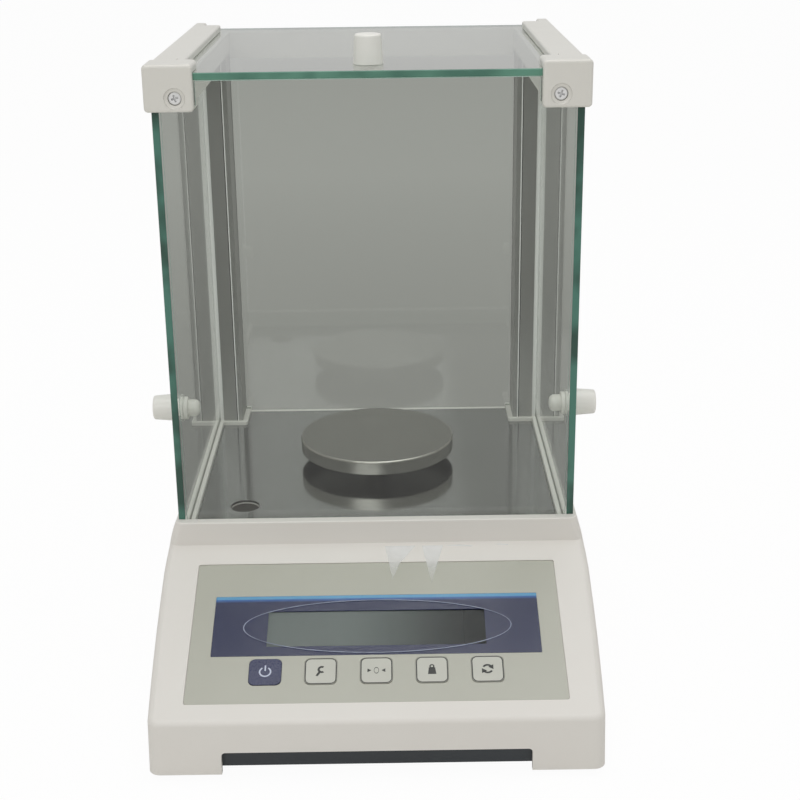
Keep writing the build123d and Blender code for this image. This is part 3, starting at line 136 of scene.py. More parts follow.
def mouldedPlastic(name, look):
    material, tree, place = startMaterial(name)
    grain = noise(tree, place, look["grain"] * mm, 2)
    cloud = noise(tree, place, look["cloud"] * mm, 3)
    colour = mixed(tree, cloud, linear(look["colour"]), linear(look["shade"]))
    rough = spread(tree, grain, look["roughness"] - grainSheen, look["roughness"] + grainSheen)
    shader = addNode(tree, "ShaderNodeBsdfPrincipled", {
        "Base Color": colour, "Roughness": rough, "IOR": look["ior"],
        "Normal": bumped(tree, grain, look["relief"], grainDepth)})
    endMaterial(tree, shader.outputs[0])
    return material


plastics = {
    # injection-moulded ABS with a fine spark-eroded grain, real grain about 0.1 mm, drawn at 0.9
    "housingAbs": dict(colour="E3E0DA", shade="DEDAD3", grain=0.9, cloud=60,
                       relief=0.10, roughness=0.42, ior=1.54),
    # black ABS of the chassis tray
    "trayAbs": dict(colour="30353A", shade="292E32", grain=1.0, cloud=40,
                    relief=0.20, roughness=0.48, ior=1.54),
    # smooth glossy ABS of the shield's rails, blocks and caps
    "shieldAbs": dict(colour="DFDDD6", shade="D9D7CF", grain=1.4, cloud=30,
                      relief=0.04, roughness=0.30, ior=1.54),
    # whiter ABS of the three door knobs
    "knobAbs": dict(colour="F0EEE8", shade="EAE8E1", grain=1.4, cloud=20,
                    relief=0.04, roughness=0.34, ior=1.54),
    # printed polyester overlay with a satin face
    "overlayPolyester": dict(colour="B5B5A9", shade="AFAFA2", grain=0.6, cloud=45,
                             relief=0.05, roughness=0.30, ior=1.57),
    # satin keys under the same film
    "keyPolyester": dict(colour="C2C2B8", shade="BBBBB0", grain=0.6, cloud=12,
                         relief=0.05, roughness=0.30, ior=1.57),
    "powerKeyPolyester": dict(colour="2A3058", shade="23294C", grain=0.6, cloud=12,
                              relief=0.05, roughness=0.28, ior=1.57),
    "blackInk": dict(colour="3A3B38", shade="30312F", grain=0.5, cloud=8,
                     relief=0.05, roughness=0.45, ior=1.5),
    "whiteInk": dict(colour="C9CEDD", shade="BFC5D6", grain=0.5, cloud=8,
                     relief=0.05, roughness=0.45, ior=1.5),
    # glass-reinforced PBT of connectors and switches
    "connectorPbt": dict(colour="26272A", shade="1F2022", grain=0.5, cloud=15,
                         relief=0.12, roughness=0.5, ior=1.57),
    # epoxy board under green solder mask
    "solderMask": dict(colour="1F5A33", shade="194C2A", grain=1.2, cloud=18,
                       relief=0.15, roughness=0.3, ior=1.55),
    # moulded rubber of the feet
    "footRubber": dict(colour="2A2A2A", shade="222222", grain=0.7, cloud=12,
                       relief=0.3, roughness=0.8, ior=1.52),
}
finishes = {name: mouldedPlastic(name, look) for name, look in plastics.items()}


# Metals

lineDepth = 0.02 * mm
bandLevels = dict(plain=0.0, slot=0.5, light=1.0)


def paintBands(tree, place, look, colour, shader):  # light and dark bands beside the middle plane
    distance = worked(tree, "ABSOLUTE", axisOf(tree, place, "X"))
    share = spread(tree, distance, 0.0, 1.0, look["inner"], look["outer"])
    spots = [(0.0, (0, 0, 0, 1))]
    for start, level in look["steps"]:
        across = (start - look["inner"]) / (look["outer"] - look["inner"])
        spots.append((across, (bandLevels[level],) * 3 + (1,)))
    bands = ramped(tree, share, spots, "CONSTANT")
    light = worked(tree, "GREATER_THAN", bands, (bandLevels["slot"] + bandLevels["light"]) / 2)
    dark = worked(tree, "GREATER_THAN", bands, (bandLevels["plain"] + bandLevels["slot"]) / 2)
    # a slot band gets a near-black colour, painted shade inside a groove
    slotShaded = mixed(tree, dark, colour, linear(look["slotShadeColour"]))
    tree.links.new(mixed(tree, light, slotShaded, linear(look["stripColour"])), shader.inputs["Base Color"])
    tree.links.new(spread(tree, bands, 1.0, 0.0), shader.inputs["Metallic"])


def radiusAbout(tree, place, centre):
    moved = addNode(tree, "ShaderNodeVectorMath", {0: place, 1: centre}, operation="SUBTRACT").outputs[0]
    flat = addNode(tree, "ShaderNodeVectorMath", {0: moved, 1: (1, 1, 0)}, operation="MULTIPLY").outputs[0]
    return addNode(tree, "ShaderNodeVectorMath", {0: flat}, operation="LENGTH").outputs["Value"]


def brushedMetal(name, look):  # lines along one axis, or rings about a centre
    material, tree, place = startMaterial(name)
    if "centre" in look:
        radius = radiusAbout(tree, place, look["centre"])
        stretched = addNode(tree, "ShaderNodeCombineXYZ", {"X": radius}).outputs[0]
    else:
        stretched = addNode(tree, "ShaderNodeVectorMath", {0: place, 1: look["stretch"]},
                            operation="MULTIPLY").outputs[0]
    lines = noise(tree, stretched, look["line"] * mm, 3)
    cloud = noise(tree, place, look["cloud"] * mm, 2)
    colour = mixed(tree, cloud, linear(look["colour"]), linear(look["shade"]))
    rough = spread(tree, lines, look["roughness"] - look["sheen"], look["roughness"] + look["sheen"])
    shader = addNode(tree, "ShaderNodeBsdfPrincipled", {
        "Base Color": colour, "Metallic": 1.0, "Roughness": rough,
        "Normal": bumped(tree, lines, look["relief"], lineDepth)})
    if "bands" in look:
        paintBands(tree, place, look["bands"], colour, shader)
    # a lighter colour beyond the rim radius, a painted highlight on the rim
    if "rim" in look:
        onRim = worked(tree, "GREATER_THAN", radius, look["rim"])
        tree.links.new(mixed(tree, onRim, colour, linear(look["rimHighlightColour"])), shader.inputs["Base Color"])
    if "anisotropic" in look:
        shader.inputs["Anisotropic"].default_value = look["anisotropic"]
        around = addNode(tree, "ShaderNodeTangent", direction_type="RADIAL", axis="Z")
        tree.links.new(around.outputs[0], shader.inputs["Tangent"])
    endMaterial(tree, shader.outputs[0])
    return material


panLow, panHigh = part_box("weighing_pan")
panCentre = ((panLow.x + panHigh.x) / 2, (panLow.y + panHigh.y) / 2, 0)
metals = {
    # bright stainless sheet, brushed across the chamber
    "floorStainless": dict(colour="A9AAAA", shade="9C9D9D", stretch=(0.03, 1, 1), line=0.5, cloud=50,
                           relief=0.07, roughness=0.11, sheen=0.02),
    # stainless pan, spun, with fine rings about its centre and a rim painted brighter as a highlight
    "panStainless": dict(colour="94938E", shade="8A8984", centre=panCentre, line=0.7, cloud=30,
                         relief=0.08, roughness=0.24, sheen=0.04, anisotropic=0.6,
                         rim=44.2 * mm, rimHighlightColour="BDBBB5"),
    # anodised aluminium extrusion with drawing lines along its length
    "columnAluminium": dict(colour="B0B0AD", shade="A8A8A5", stretch=(1, 1, 0.01), line=0.6, cloud=40,
                            relief=0.30, roughness=0.36, sheen=0.06,
                            # bands across the face: the thin light band from 88.4 mm and the dark slot band
                            # after it are a groove's painted highlight and painted shade; the light band from
                            # 97.8 mm is a pale strip
                            bands=dict(inner=85.7 * mm, outer=100.1 * mm,
                                       stripColour="ECECE8", slotShadeColour="2A2A29",
                                       steps=[(88.4 * mm, "light"), (89.0 * mm, "slot"), (89.5 * mm, "plain"),
                                              (97.8 * mm, "light")])),
    # milled aluminium casting of the weighing cell
    "cellAluminium": dict(colour="C2C3C4", shade="B4B5B6", stretch=(0.1, 1, 1), line=0.8, cloud=12,
                          relief=0.40, roughness=0.42, sheen=0.06),
    # rolled spring steel
    "springSteel": dict(colour="B0B0AE", shade="A3A3A1", stretch=(1, 0.03, 1), line=0.5, cloud=15,
                        relief=0.3, roughness=0.3, sheen=0.05),
    # nickel-plated screws
    "nickelPlate": dict(colour="C6C5C0", shade="B8B7B2", stretch=(1, 1, 1), line=0.5, cloud=3,
                        relief=0.2, roughness=0.22, sheen=0.05),
    # plated soft iron of the magnet
    "magnetIron": dict(colour="8A8B8D", shade="7C7D7F", stretch=(1, 1, 0.1), line=0.8, cloud=10,
                       relief=0.4, roughness=0.38, sheen=0.06),
    # enamelled copper winding
    "copperWire": dict(colour="B4683A", shade="9A5228", stretch=(0.05, 0.05, 1), line=0.4, cloud=5,
                       relief=0.6, roughness=0.35, sheen=0.08),
    # turned brass bush
    "turnedBrass": dict(colour="C9A45A", shade="B8924A", stretch=(0.05, 0.05, 1), line=0.4, cloud=8,
                        relief=0.3, roughness=0.3, sheen=0.05),
}
finishes.update({name: brushedMetal(name, look) for name, look in metals.items()})


# Float glass: clear through its broad faces, green where an edge shows the glass end on, with lighter and
# darker streaks along an edge that are painted light and shade

glassLook = dict(face="F6F8F6", shadow="F8FAF9", roughness=0.0, ior=1.52,
                 paintedStreak=22 * mm, contrast=(0.38, 0.62), edgeRoughness=0.18, edgeBelow=0.8)


def floatGlass(name, broadAxis, edge, edgeShade):
    material, tree, place = startMaterial(name)
    normal = addNode(tree, "ShaderNodeTexCoord").outputs["Normal"]
    facing = axisOf(tree, normal, broadAxis)
    onEdge = worked(tree, "LESS_THAN", worked(tree, "MULTIPLY", facing, facing), glassLook["edgeBelow"])
    path = addNode(tree, "ShaderNodeLightPath")
    lampOrBounce = worked(tree, "MAXIMUM", path.outputs["Is Shadow Ray"], path.outputs["Is Diffuse Ray"])
    clear = addNode(tree, "ShaderNodeBsdfPrincipled", {
        "Base Color": linear(glassLook["face"]), "Roughness": glassLook["roughness"], "IOR": glassLook["ior"],
        "Transmission Weight": 1.0})
    passing = addNode(tree, "ShaderNodeBsdfTransparent", {"Color": linear(glassLook["shadow"])})
    pane = addNode(tree, "ShaderNodeMixShader", {0: lampOrBounce, 1: clear.outputs[0], 2: passing.outputs[0]})
    paintedStreak = spread(tree, noise(tree, place, glassLook["paintedStreak"], 2), 0.0, 1.0, *glassLook["contrast"])
    green = mixed(tree, paintedStreak, linear(edge), linear(edgeShade))
    side = addNode(tree, "ShaderNodeBsdfPrincipled", {
        "Base Color": green, "Roughness": glassLook["edgeRoughness"], "IOR": glassLook["ior"]})
    whole = addNode(tree, "ShaderNodeMixShader", {0: onEdge, 1: pane.outputs[0], 2: side.outputs[0]})
    endMaterial(tree, whole.outputs[0])
    return material


# each pane's edge greens are set lighter or darker for the light that falls on that pane, painted light on
# one and the same glass
panes = {
    "left_door_glass": dict(broadAxis="X", edge="46796A", edgeShade="274A3E"),
    "right_door_glass": dict(broadAxis="X", edge="46796A", edgeShade="274A3E"),
    "front_glass": dict(broadAxis="Y", edge="A9C9BC", edgeShade="8FB0A3"),
    "rear_glass": dict(broadAxis="Y", edge="7FA897", edgeShade="658C7C"),
    "top_door_glass": dict(broadAxis="Z", edge="5F917D", edgeShade="467463"),
}
for node, look in panes.items():
    finishes[node] = floatGlass("floatGlass_" + node, **look)
print("materials of plastic, metal and glass made")


# Places on the sloping panel, from the middle of its upper edge: X to the right, Y up the slope, Z out

panel = dict(slope=math.radians(22.1), length=114.3 * mm, ledgeZ=73.9 * mm)
panelEdgeY = cadBox[0][1] + panel["length"] * math.cos(panel["slope"])
panelPlace = Matrix((
    (1, 0, 0, 0),
    (0, math.cos(panel["slope"]), -math.sin(panel["slope"]), panelEdgeY),
    (0, math.sin(panel["slope"]), math.cos(panel["slope"]), panel["ledgeZ"]),
    (0, 0, 0, 1)))


def upPanel(tree, place):  # the distance up the slope from its upper edge, below zero on the panel
    moved = addNode(tree, "ShaderNodeVectorMath", {0: place, 1: panelPlace.translation},
                    operation="SUBTRACT").outputs[0]
    return addNode(tree, "ShaderNodeVectorMath", {0: moved, 1: panelPlace.col[1].to_3d()},
                   operation="DOT_PRODUCT").outputs["Value"]


# Display bezel: navy film with a light-blue band along its upper edge

bezel = dict(start=35.7 * mm, band=4.0 * mm, navyShade="171D3C", shading=0.12, grain=0.7 * mm,
             cloud=30 * mm, relief=0.04, roughness=0.22, ior=1.57,
             colours=[(1.6 * mm, "5B9CC4"), (2.2 * mm, "2F62A4"), (4.0 * mm, "1B2348")])


def bezelPolyester(look):
    material, tree, place = startMaterial("bezelPolyester")
    depth = worked(tree, "ADD", upPanel(tree, place), look["start"])
    share = worked(tree, "MULTIPLY", depth, -1 / look["band"])
    banded = ramped(tree, share, [(down / look["band"], linear(colour)) for down, colour in look["colours"]])
    shading = spread(tree, noise(tree, place, look["cloud"], 2), 0.0, look["shading"])
    grain = noise(tree, place, look["grain"], 2)
    film = addNode(tree, "ShaderNodeBsdfPrincipled", {
        "Base Color": mixed(tree, shading, banded, linear(look["navyShade"])), "Roughness": look["roughness"],
        "IOR": look["ior"], "Normal": bumped(tree, grain, look["relief"], grainDepth)})
    endMaterial(tree, film.outputs[0])
    return material


# Unlit liquid crystal display: grey green at the left fading to almost black at the right, a painted fade of
# light and shade across the glass

display = dict(left="666E6B", right="090D0E", shadeFadeFrom=-21.72 * mm, shadeFadeTo=54.3 * mm, dots=0.8 * mm,
               smooth=0.14, rough=0.20, ior=1.4)


def displayGlass(look):
    material, tree, place = startMaterial("displayGlass")
    share = addNode(tree, "ShaderNodeMapRange", {
        "Value": axisOf(tree, place, "X"), "From Min": look["shadeFadeFrom"], "From Max": look["shadeFadeTo"]},
        interpolation_type="SMOOTHSTEP").outputs["Result"]
    face = addNode(tree, "ShaderNodeBsdfPrincipled", {
        "Base Color": mixed(tree, share, linear(look["left"]), linear(look["right"])), "IOR": look["ior"],
        "Roughness": spread(tree, noise(tree, place, look["dots"], 1), look["smooth"], look["rough"])})
    endMaterial(tree, face.outputs[0])
    return material


# Clear protective film that still lies on the panel; where it creases it carries a painted highlight, a
# whitish sheet that is strongest at the top

creaseLook = dict(highlightWhite="F6F6F4", most=0.85, least=0.10, length=26 * mm, patch=9 * mm,
                  thin=0.6, thick=1.2, roughness=0.25, ior=1.5)


def creaseHighlightFilm(look):
    material, tree, place = startMaterial("creaseHighlightFilm")
    fade = spread(tree, upPanel(tree, place), look["least"], look["most"], -look["length"], 0.0)
    patches = spread(tree, noise(tree, place, look["patch"], 1), look["thin"], look["thick"])
    highlightWhite = addNode(tree, "ShaderNodeBsdfPrincipled", {
        "Base Color": linear(look["highlightWhite"]), "Roughness": look["roughness"], "IOR": look["ior"]})
    clear = addNode(tree, "ShaderNodeBsdfTransparent")
    highlightMix = addNode(tree, "ShaderNodeMixShader", {
        0: worked(tree, "MULTIPLY", fade, patches), 1: clear.outputs[0], 2: highlightWhite.outputs[0]})
    endMaterial(tree, highlightMix.outputs[0])
    return material


# Level vial, sunk below the floor, in a near-black brown that is painted shade of the hole it sits in

vialLook = dict(colour="2B251D", shade="1E1A15", cloud=6 * mm, roughness=0.35, ior=1.3)


def shadedLevelVial(look):
    material, tree, place = startMaterial("shadedLevelVial")
    brown = mixed(tree, noise(tree, place, look["cloud"], 1), linear(look["colour"]), linear(look["shade"]))
    vial = addNode(tree, "ShaderNodeBsdfPrincipled", {
        "Base Color": brown, "Roughness": look["roughness"], "IOR": look["ior"]})
    endMaterial(tree, vial.outputs[0])
    return material


finishes["bezelPolyester"] = bezelPolyester(bezel)
finishes["displayGlass"] = displayGlass(display)
finishes["creaseHighlightFilm"] = creaseHighlightFilm(creaseLook)
finishes["shadedLevelVial"] = shadedLevelVial(vialLook)
finishes["ovalHighlightLine"] = mouldedPlastic("ovalHighlightLine", dict(
    colour="B9C2D8", shade="2A3050", grain=2.0, cloud=14, relief=0.04, roughness=0.2, ior=1.5))
print("materials of the panel and the level made")


# Each CAD node and its finish

nodeFinish = {
    "housingAbs": ["upper_housing"],
    "trayAbs": ["bottom_tray", "level_cup"],
    "shieldAbs": ["rear_crossbar"],
    "knobAbs": ["top_door_knob", "left_door_knob", "right_door_knob"],
    "floorStainless": ["chamber_floor"],
    "panStainless": ["weighing_pan"],
    "overlayPolyester": ["control_overlay"],
    "bezelPolyester": ["display_bezel"],
    "displayGlass": ["lcd_glass"],
    "keyPolyester": ["set_key", "tare_key", "calibrate_key", "unit_key"],
    "powerKeyPolyester": ["power_key"],
    "connectorPbt": ["lcd_holder", "key_switches", "power_jack", "serial_port"],
    "solderMask": ["panel_board", "main_board"],
    "cellAluminium": ["cell_frame", "balance_lever", "load_receiver"],
    "springSteel": ["upper_guide", "lower_guide", "lever_pin"],
    "magnetIron": ["magnet_pot"],
    "copperWire": ["coil"],
    "nickelPlate": ["frame_screws", "housing_screws", "top_knob_screw"],
    "turnedBrass": ["foot_bushes"],
    "footRubber": ["front_feet"],
    "shadedLevelVial": ["level_glass"],
}
nodeFinish["columnAluminium"] = ["left_column", "right_column"]
shieldParts = ("_door_guide", "_column_foot", "_top_rail", "_rear_cap", "_front_block", "_knob_nut")
for side in ("left", "right"):
    nodeFinish["shieldAbs"] += [side + part for part in shieldParts]
    nodeFinish["footRubber"].append(side + "_foot_pad")
    nodeFinish["connectorPbt"].append(side + "_foot_screw")
for node in panes:
    nodeFinish[node] = [node]
for finish, names in nodeFinish.items():
    for name in names:
        nodes[name].data.materials.clear()
        nodes[name].data.materials.append(finishes[finish])
bare = sorted(set(nodes) - {name for names in nodeFinish.values() for name in names})
print("CAD pieces without a finish:", bare)


# Closed meshes: plates on an outline, bands between two lines and turned pieces

nothing = 1e-7  # a length in metres that counts as none


def addPlate(mesh, outline, low, high):
    bottom = [mesh.verts.new((x, y, low)) for x, y in outline]
    top = [mesh.verts.new((x, y, high)) for x, y in outline]
    mesh.faces.new(top)
    mesh.faces.new(bottom[::-1])
    for i in range(len(outline)):
        j = (i + 1) % len(outline)
        mesh.faces.new((bottom[i], bottom[j], top[j], top[i]))


def addBand(mesh, outer, inner, low, high, closed=True):
    rows = [[mesh.verts.new((x, y, z)) for x, y in line] for line, z in
            ((outer, low), (outer, high), (inner, high), (inner, low))]
    count = len(outer) if closed else len(outer) - 1
    for i in range(count):
        j = (i + 1) % len(outer)
        for k in range(4):
            a, b = rows[k], rows[(k + 1) % 4]
            mesh.faces.new((a[i], a[j], b[j], b[i]))
    if not closed:
        mesh.faces.new([row[0] for row in rows])
        mesh.faces.new([row[-1] for row in rows][::-1])


def lathe(mesh, profile, steps):  # profile is a list of (radius, z) about the Z axis
    turns = [2 * math.pi * i / steps for i in range(steps)]
    rings = []
    for radius, z in profile:
        if radius < nothing:
            rings.append([mesh.verts.new((0, 0, z))])
        else:
            rings.append([mesh.verts.new((radius * math.cos(a), radius * math.sin(a), z)) for a in turns])
    for a, b in zip(rings, rings[1:]):
        for i in range(steps):
            j = (i + 1) % steps
            corners = [a[i % len(a)], a[j % len(a)], b[j % len(b)], b[i % len(b)]]
            unique = list(dict.fromkeys(corners))
            if len(unique) > 2:
                mesh.faces.new(unique)


def arcPoints(centre, halves, start, end, count):  # an arc, in degrees, of an oval
    angles = [math.radians(start + (end - start) * i / (count - 1)) for i in range(count)]
    return [(centre[0] + halves[0] * math.cos(a), centre[1] + halves[1] * math.sin(a)) for a in angles]


def roundedSquare(centre, side, corner, steps=6):
    half = side / 2 - corner
    points = []
    for turn, (sx, sy) in enumerate(((1, 1), (-1, 1), (-1, -1), (1, -1))):
        middle = (centre[0] + sx * half, centre[1] + sy * half)
        points += arcPoints(middle, (corner, corner), 90 * turn, 90 * turn + 90, steps)
    return points


def looseObject(name, mesh):
    bmesh.ops.recalc_face_normals(mesh, faces=mesh.faces)
    data = bpy.data.meshes.new(name)
    mesh.to_mesh(data)
    mesh.free()
    piece = bpy.data.objects.new(name, data)
    bpy.context.scene.collection.objects.link(piece)
    return piece


def fasten(piece, body):
    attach(piece, body)


def panelPiece(name, mesh, body, finish):  # a mesh drawn in panel places
    piece = looseObject(name, mesh)
    piece.data.transform(panelPlace)
    piece.data.materials.append(finishes[finish])
    fasten(piece, body)


# Prints on the keys: an outline and a plain sign, drawn in units about the middle of the key

keyPrint = dict(down=83.7 * mm, pitch=27.0 * mm, size=15.5 * mm, corner=3.0 * mm,
                edge=0.05 * mm, ink=0.55 * mm, thick=0.04 * mm, unit=0.85 * mm)


def arrowHead(turn, radius=2.7, size=2.0, lead=30):  # a triangle at one end of a curved arrow
    endX = radius * math.cos(math.radians(turn + lead))
    endY = radius * math.sin(math.radians(turn + lead))
    return arcPoints((endX, endY), (size, size), turn - 60, turn + 180, 3)


signs = {
    # a broken ring with a bar in its gap
    "power_key": dict(
        ink="whiteInk", plates=[[(-0.42, 0.6), (0.42, 0.6), (0.42, 4.6), (-0.42, 4.6)]],
        rings=[dict(centre=(0, 0), outer=(3.6, 3.6), inner=(2.7, 2.7), turn=(122, 418), points=26)]),
    # a spanner
    "set_key": dict(
        ink="blackInk", plates=[[(-2.9, -3.2), (-1.7, -3.6), (0.1, -0.9), (-1.2, -0.3)]],
        rings=[dict(centre=(0.6, 1.1), outer=(2.5, 2.5), inner=(1.2, 1.2), turn=(60, 300), points=16)]),
    # two arrow heads towards a zero
    "tare_key": dict(
        ink="blackInk", plates=[[(-5.1, 1.3), (-5.1, -1.3), (-2.9, 0)], [(2.9, 0), (5.1, -1.3), (5.1, 1.3)]],
        rings=[dict(centre=(0, 0), outer=(1.426, 2.3), inner=(1.196, 1.84), turn=(0, 345), points=24,
                    closed=True)]),
    # a weight with its ring
    "calibrate_key": dict(
        ink="blackInk", plates=[[(-2.4, -3.2), (2.4, -3.2), (1.8, 1.5), (-1.8, 1.5)]],
        rings=[dict(centre=(0, 2.3), outer=(1.5, 1.5), inner=(0.7, 0.7), turn=(0, 345), points=16,
                    closed=True)]),
    # two curved arrows
    "unit_key": dict(
        ink="blackInk", plates=[arrowHead(0), arrowHead(180)],
        rings=[dict(centre=(0, 0), outer=(3.3, 3.3), inner=(2.1, 2.1), turn=turn, points=14)
               for turn in ((30, 150), (210, 330))]),
}


def signMesh(sign, centre):
    mesh = bmesh.new()

    def placed(points):
        return [(centre[0] + x * keyPrint["unit"], centre[1] + y * keyPrint["unit"]) for x, y in points]

    for ring in sign["rings"]:
        outer = placed(arcPoints(ring["centre"], ring["outer"], *ring["turn"], ring["points"]))
        inner = placed(arcPoints(ring["centre"], ring["inner"], *ring["turn"], ring["points"]))
        addBand(mesh, outer, inner, 0.0, keyPrint["thick"], closed=ring.get("closed", False))
    for plate in sign["plates"]:
        addPlate(mesh, placed(plate), 0.0, keyPrint["thick"])
    return mesh


def outlineMesh(centre):
    mesh = bmesh.new()
    size, corner, ink = keyPrint["size"], keyPrint["corner"], keyPrint["ink"]
    outer = roundedSquare(centre, size - 2 * keyPrint["edge"], corner)
    inner = roundedSquare(centre, size - 2 * ink, corner - ink)
    addBand(mesh, outer, inner, 0.0, keyPrint["thick"])
    return mesh


for index, (key, sign) in enumerate(signs.items()):
    centre = ((index - (len(signs) - 1) / 2) * keyPrint["pitch"], -keyPrint["down"])
    panelPiece(key + "_icon", signMesh(sign, centre), key + "_button", sign["ink"])
    if key != "power_key":
        panelPiece(key + "_outline", outlineMesh(centre), key + "_button", "blackInk")
print("key prints made")


# Creases of the protective film on the overlay, drawn as patches of painted highlight, outlines in
# millimetres from the panel's upper edge

creases = dict(above=0.02 * mm, thick=0.03 * mm, spots=[
    [(4.5, -2.5), (8.4, -26.0), (12.0, -15.0), (20.5, -2.5)],
    [(24.0, -2.5), (28.4, -29.0), (30.5, -20.0), (35.0, -2.5)],
    [(36.0, -2.6), (50.0, -3.6), (51.0, -3.0), (44.0, -2.0)],
    [(62.0, -2.2), (69.0, -2.9), (69.5, -2.4), (65.0, -1.8)],
])
mesh = bmesh.new()
for spot in creases["spots"]:
    outline = [(x * mm, y * mm) for x, y in spot]
    addPlate(mesh, outline, creases["above"], creases["above"] + creases["thick"])
panelPiece("filmCreases", mesh, "root", "creaseHighlightFilm")


# Where the film stands off round the display it shows a thin oval line, drawn as a painted highlight broken
# by patches of navy

oval = dict(centre=(0.5 * mm, -56.0 * mm), halfWidth=67.0 * mm, halfHeight=17.0 * mm, line=0.5 * mm, steps=72)
lastStep = 360 - 360 / oval["steps"]
lines = []
for inset in (0.0, oval["line"]):
    halves = (oval["halfWidth"] - inset, oval["halfHeight"] - inset)
    lines.append(arcPoints(oval["centre"], halves, 0, lastStep, oval["steps"]))
mesh = bmesh.new()
addBand(mesh, lines[0], lines[1], creases["above"], creases["above"] + creases["thick"])
panelPiece("filmOval", mesh, "root", "ovalHighlightLine")
print("film made")


# Pieces that repeat, placed by Geometry Nodes

def bakedMesh(piece):  # the evaluated mesh of a piece, as a plain mesh
    bpy.context.view_layer.update()
    return bpy.data.meshes.new_from_object(piece.evaluated_get(bpy.context.evaluated_depsgraph_get()))


def scatterTree(name, source, finish):  # copies of one object on points, turned by the attribute "turn"
    tree = bpy.data.node_groups.new(name, "GeometryNodeTree")
    tree.interface.new_socket("Points", in_out="INPUT", socket_type="NodeSocketGeometry")
    tree.interface.new_socket("Size", in_out="INPUT", socket_type="NodeSocketFloat").default_value = 1.0
    tree.interface.new_socket("Copies", in_out="OUTPUT", socket_type="NodeSocketGeometry")
    given = addNode(tree, "NodeGroupInput")
    turn = addNode(tree, "GeometryNodeInputNamedAttribute", {"Name": "turn"}, data_type="FLOAT_VECTOR")
    shape = addNode(tree, "GeometryNodeObjectInfo", {"Object": source})
    copies = addNode(tree, "GeometryNodeInstanceOnPoints", {
        "Points": given.outputs["Points"], "Instance": shape.outputs["Geometry"],
        "Rotation": turn.outputs[0], "Scale": given.outputs["Size"]})
    real = addNode(tree, "GeometryNodeRealizeInstances", {"Geometry": copies.outputs[0]})
    painted = addNode(tree, "GeometryNodeSetMaterial", {"Geometry": real.outputs[0], "Material": finish})
    addNode(tree, "NodeGroupOutput", {"Copies": painted.outputs[0]})
    return tree


def scattered(name, source, places, finish, size=1.0):  # places are (position, turn) pairs
    tree = scatterTree(name + "Copies", source, finish)
    data = bpy.data.meshes.new(name)
    data.from_pydata([position for position, turn in places], [], [])
    turns = data.attributes.new("turn", "FLOAT_VECTOR", "POINT")
    turns.data.foreach_set("vector", [value for position, turn in places for value in turn])
    piece = bpy.data.objects.new(name, data)
    bpy.context.scene.collection.objects.link(piece)
    modifier = piece.modifiers.new("copies", "NODES")
    modifier.node_group = tree
    sockets = {item.name: item.identifier for item in tree.interface.items_tree if item.in_out == "INPUT"}
    modifier[sockets["Size"]] = size
    solid = bakedMesh(piece)
    piece.modifiers.clear()
    piece.data = solid
    bpy.data.objects.remove(source)
    return piece


def joined(name, pieces):  # one piece of several that share a finish
    mesh = bmesh.new()
    for piece in pieces:
        mesh.from_mesh(piece.data)
    whole = looseObject(name, mesh)
    whole.data.materials.append(pieces[0].data.materials[0])
    for piece in pieces:
        bpy.data.objects.remove(piece)
    return whole


quarterRound = [math.radians(15 * k) for k in range(7)]


# Frame screws with a cross recess, sizes in millimetres as the CAD has them

screws = {
    "frontScrew": dict(head=3.15, height=2.6, round=0.9, shank=26.0, slot=3.6, slotWidth=0.95, slotDepth=1.5),
    "rearScrew": dict(head=3.15, height=2.0, round=0.9, shank=9.0, slot=3.6, slotWidth=0.95, slotDepth=1.3),
    "portScrew": dict(head=2.8, height=2.0, round=0.6, shank=24.0, slot=3.2, slotWidth=0.85, slotDepth=1.3),
}
turned = dict(shankRadius=1.5, steps=32, overcut=1.0)


def crossScrew(name, look):  # head up, shank down, with a cross cut into the head
    mesh = bmesh.new()
    head, height, rounding = look["head"], look["height"], look["round"]
    dome = [(head - rounding + rounding * math.cos(a), height - rounding + rounding * math.sin(a))
            for a in quarterRound]
    radius = turned["shankRadius"]
    shank = [(0, -look["shank"]), (radius, -look["shank"]), (radius, 0), (head, 0)]
    lathe(mesh, [(x * mm, z * mm) for x, z in shank + dome + [(0, height)]], turned["steps"])
    piece = looseObject(name, mesh)
    mesh = bmesh.new()
    for length, width in ((look["slot"], look["slotWidth"]), (look["slotWidth"], look["slot"])):
        x, y = length * mm / 2, width * mm / 2
        addPlate(mesh, [(-x, -y), (x, -y), (x, y), (-x, y)], (height - look["slotDepth"]) * mm,
                 (height + turned["overcut"]) * mm)
    cutter = looseObject(name + "Cutter", mesh)
    cut = piece.modifiers.new("cross", "BOOLEAN")
    cut.operation = "DIFFERENCE"
    cut.object = cutter
    cut.use_self = True
    solid = bakedMesh(piece)
    piece.modifiers.clear()
    piece.data = solid
    bpy.data.objects.remove(cutter)
    return piece


# Each head lies on its seat: in a block, on a rear cap, in a rail and under a column

blockLow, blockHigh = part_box("right_front_block")
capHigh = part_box("right_rear_cap")[1]
seats = dict(x=92.0 * mm, drop=16.0 * mm, counterbore=4.0 * mm, spin=0.3,
             portX=91.5 * mm, portY=131.0 * mm, upperPort=312.15 * mm, lowerPort=68.5 * mm)
seatZ = blockHigh.z - seats["drop"]
facing = dict(front=(math.pi / 2, 0, 0), rear=(-math.pi / 2, 0, 0), up=(0, 0, 0), down=(math.pi, 0, 0))
screwPlaces = {name: [] for name in screws}
for side in (-1, 1):
    spun = (facing["front"][0], seats["spin"] * side, 0)
    screwPlaces["frontScrew"].append(((side * seats["x"], blockLow.y + seats["counterbore"], seatZ), spun))
    screwPlaces["rearScrew"].append(((side * seats["x"], capHigh.y, seatZ), facing["rear"]))
    for height, way in (("upperPort", "up"), ("lowerPort", "down")):
        screwPlaces["portScrew"].append(((side * seats["portX"], seats["portY"], seats[height]), facing[way]))
crossScrews = joined("crossScrews", [
    scattered(name + "s", crossScrew(name, look), screwPlaces[name], finishes["nickelPlate"])
    for name, look in screws.items()])
fasten(crossScrews, "root")
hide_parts("frame_screws")


# A moulded dish lines each front counterbore

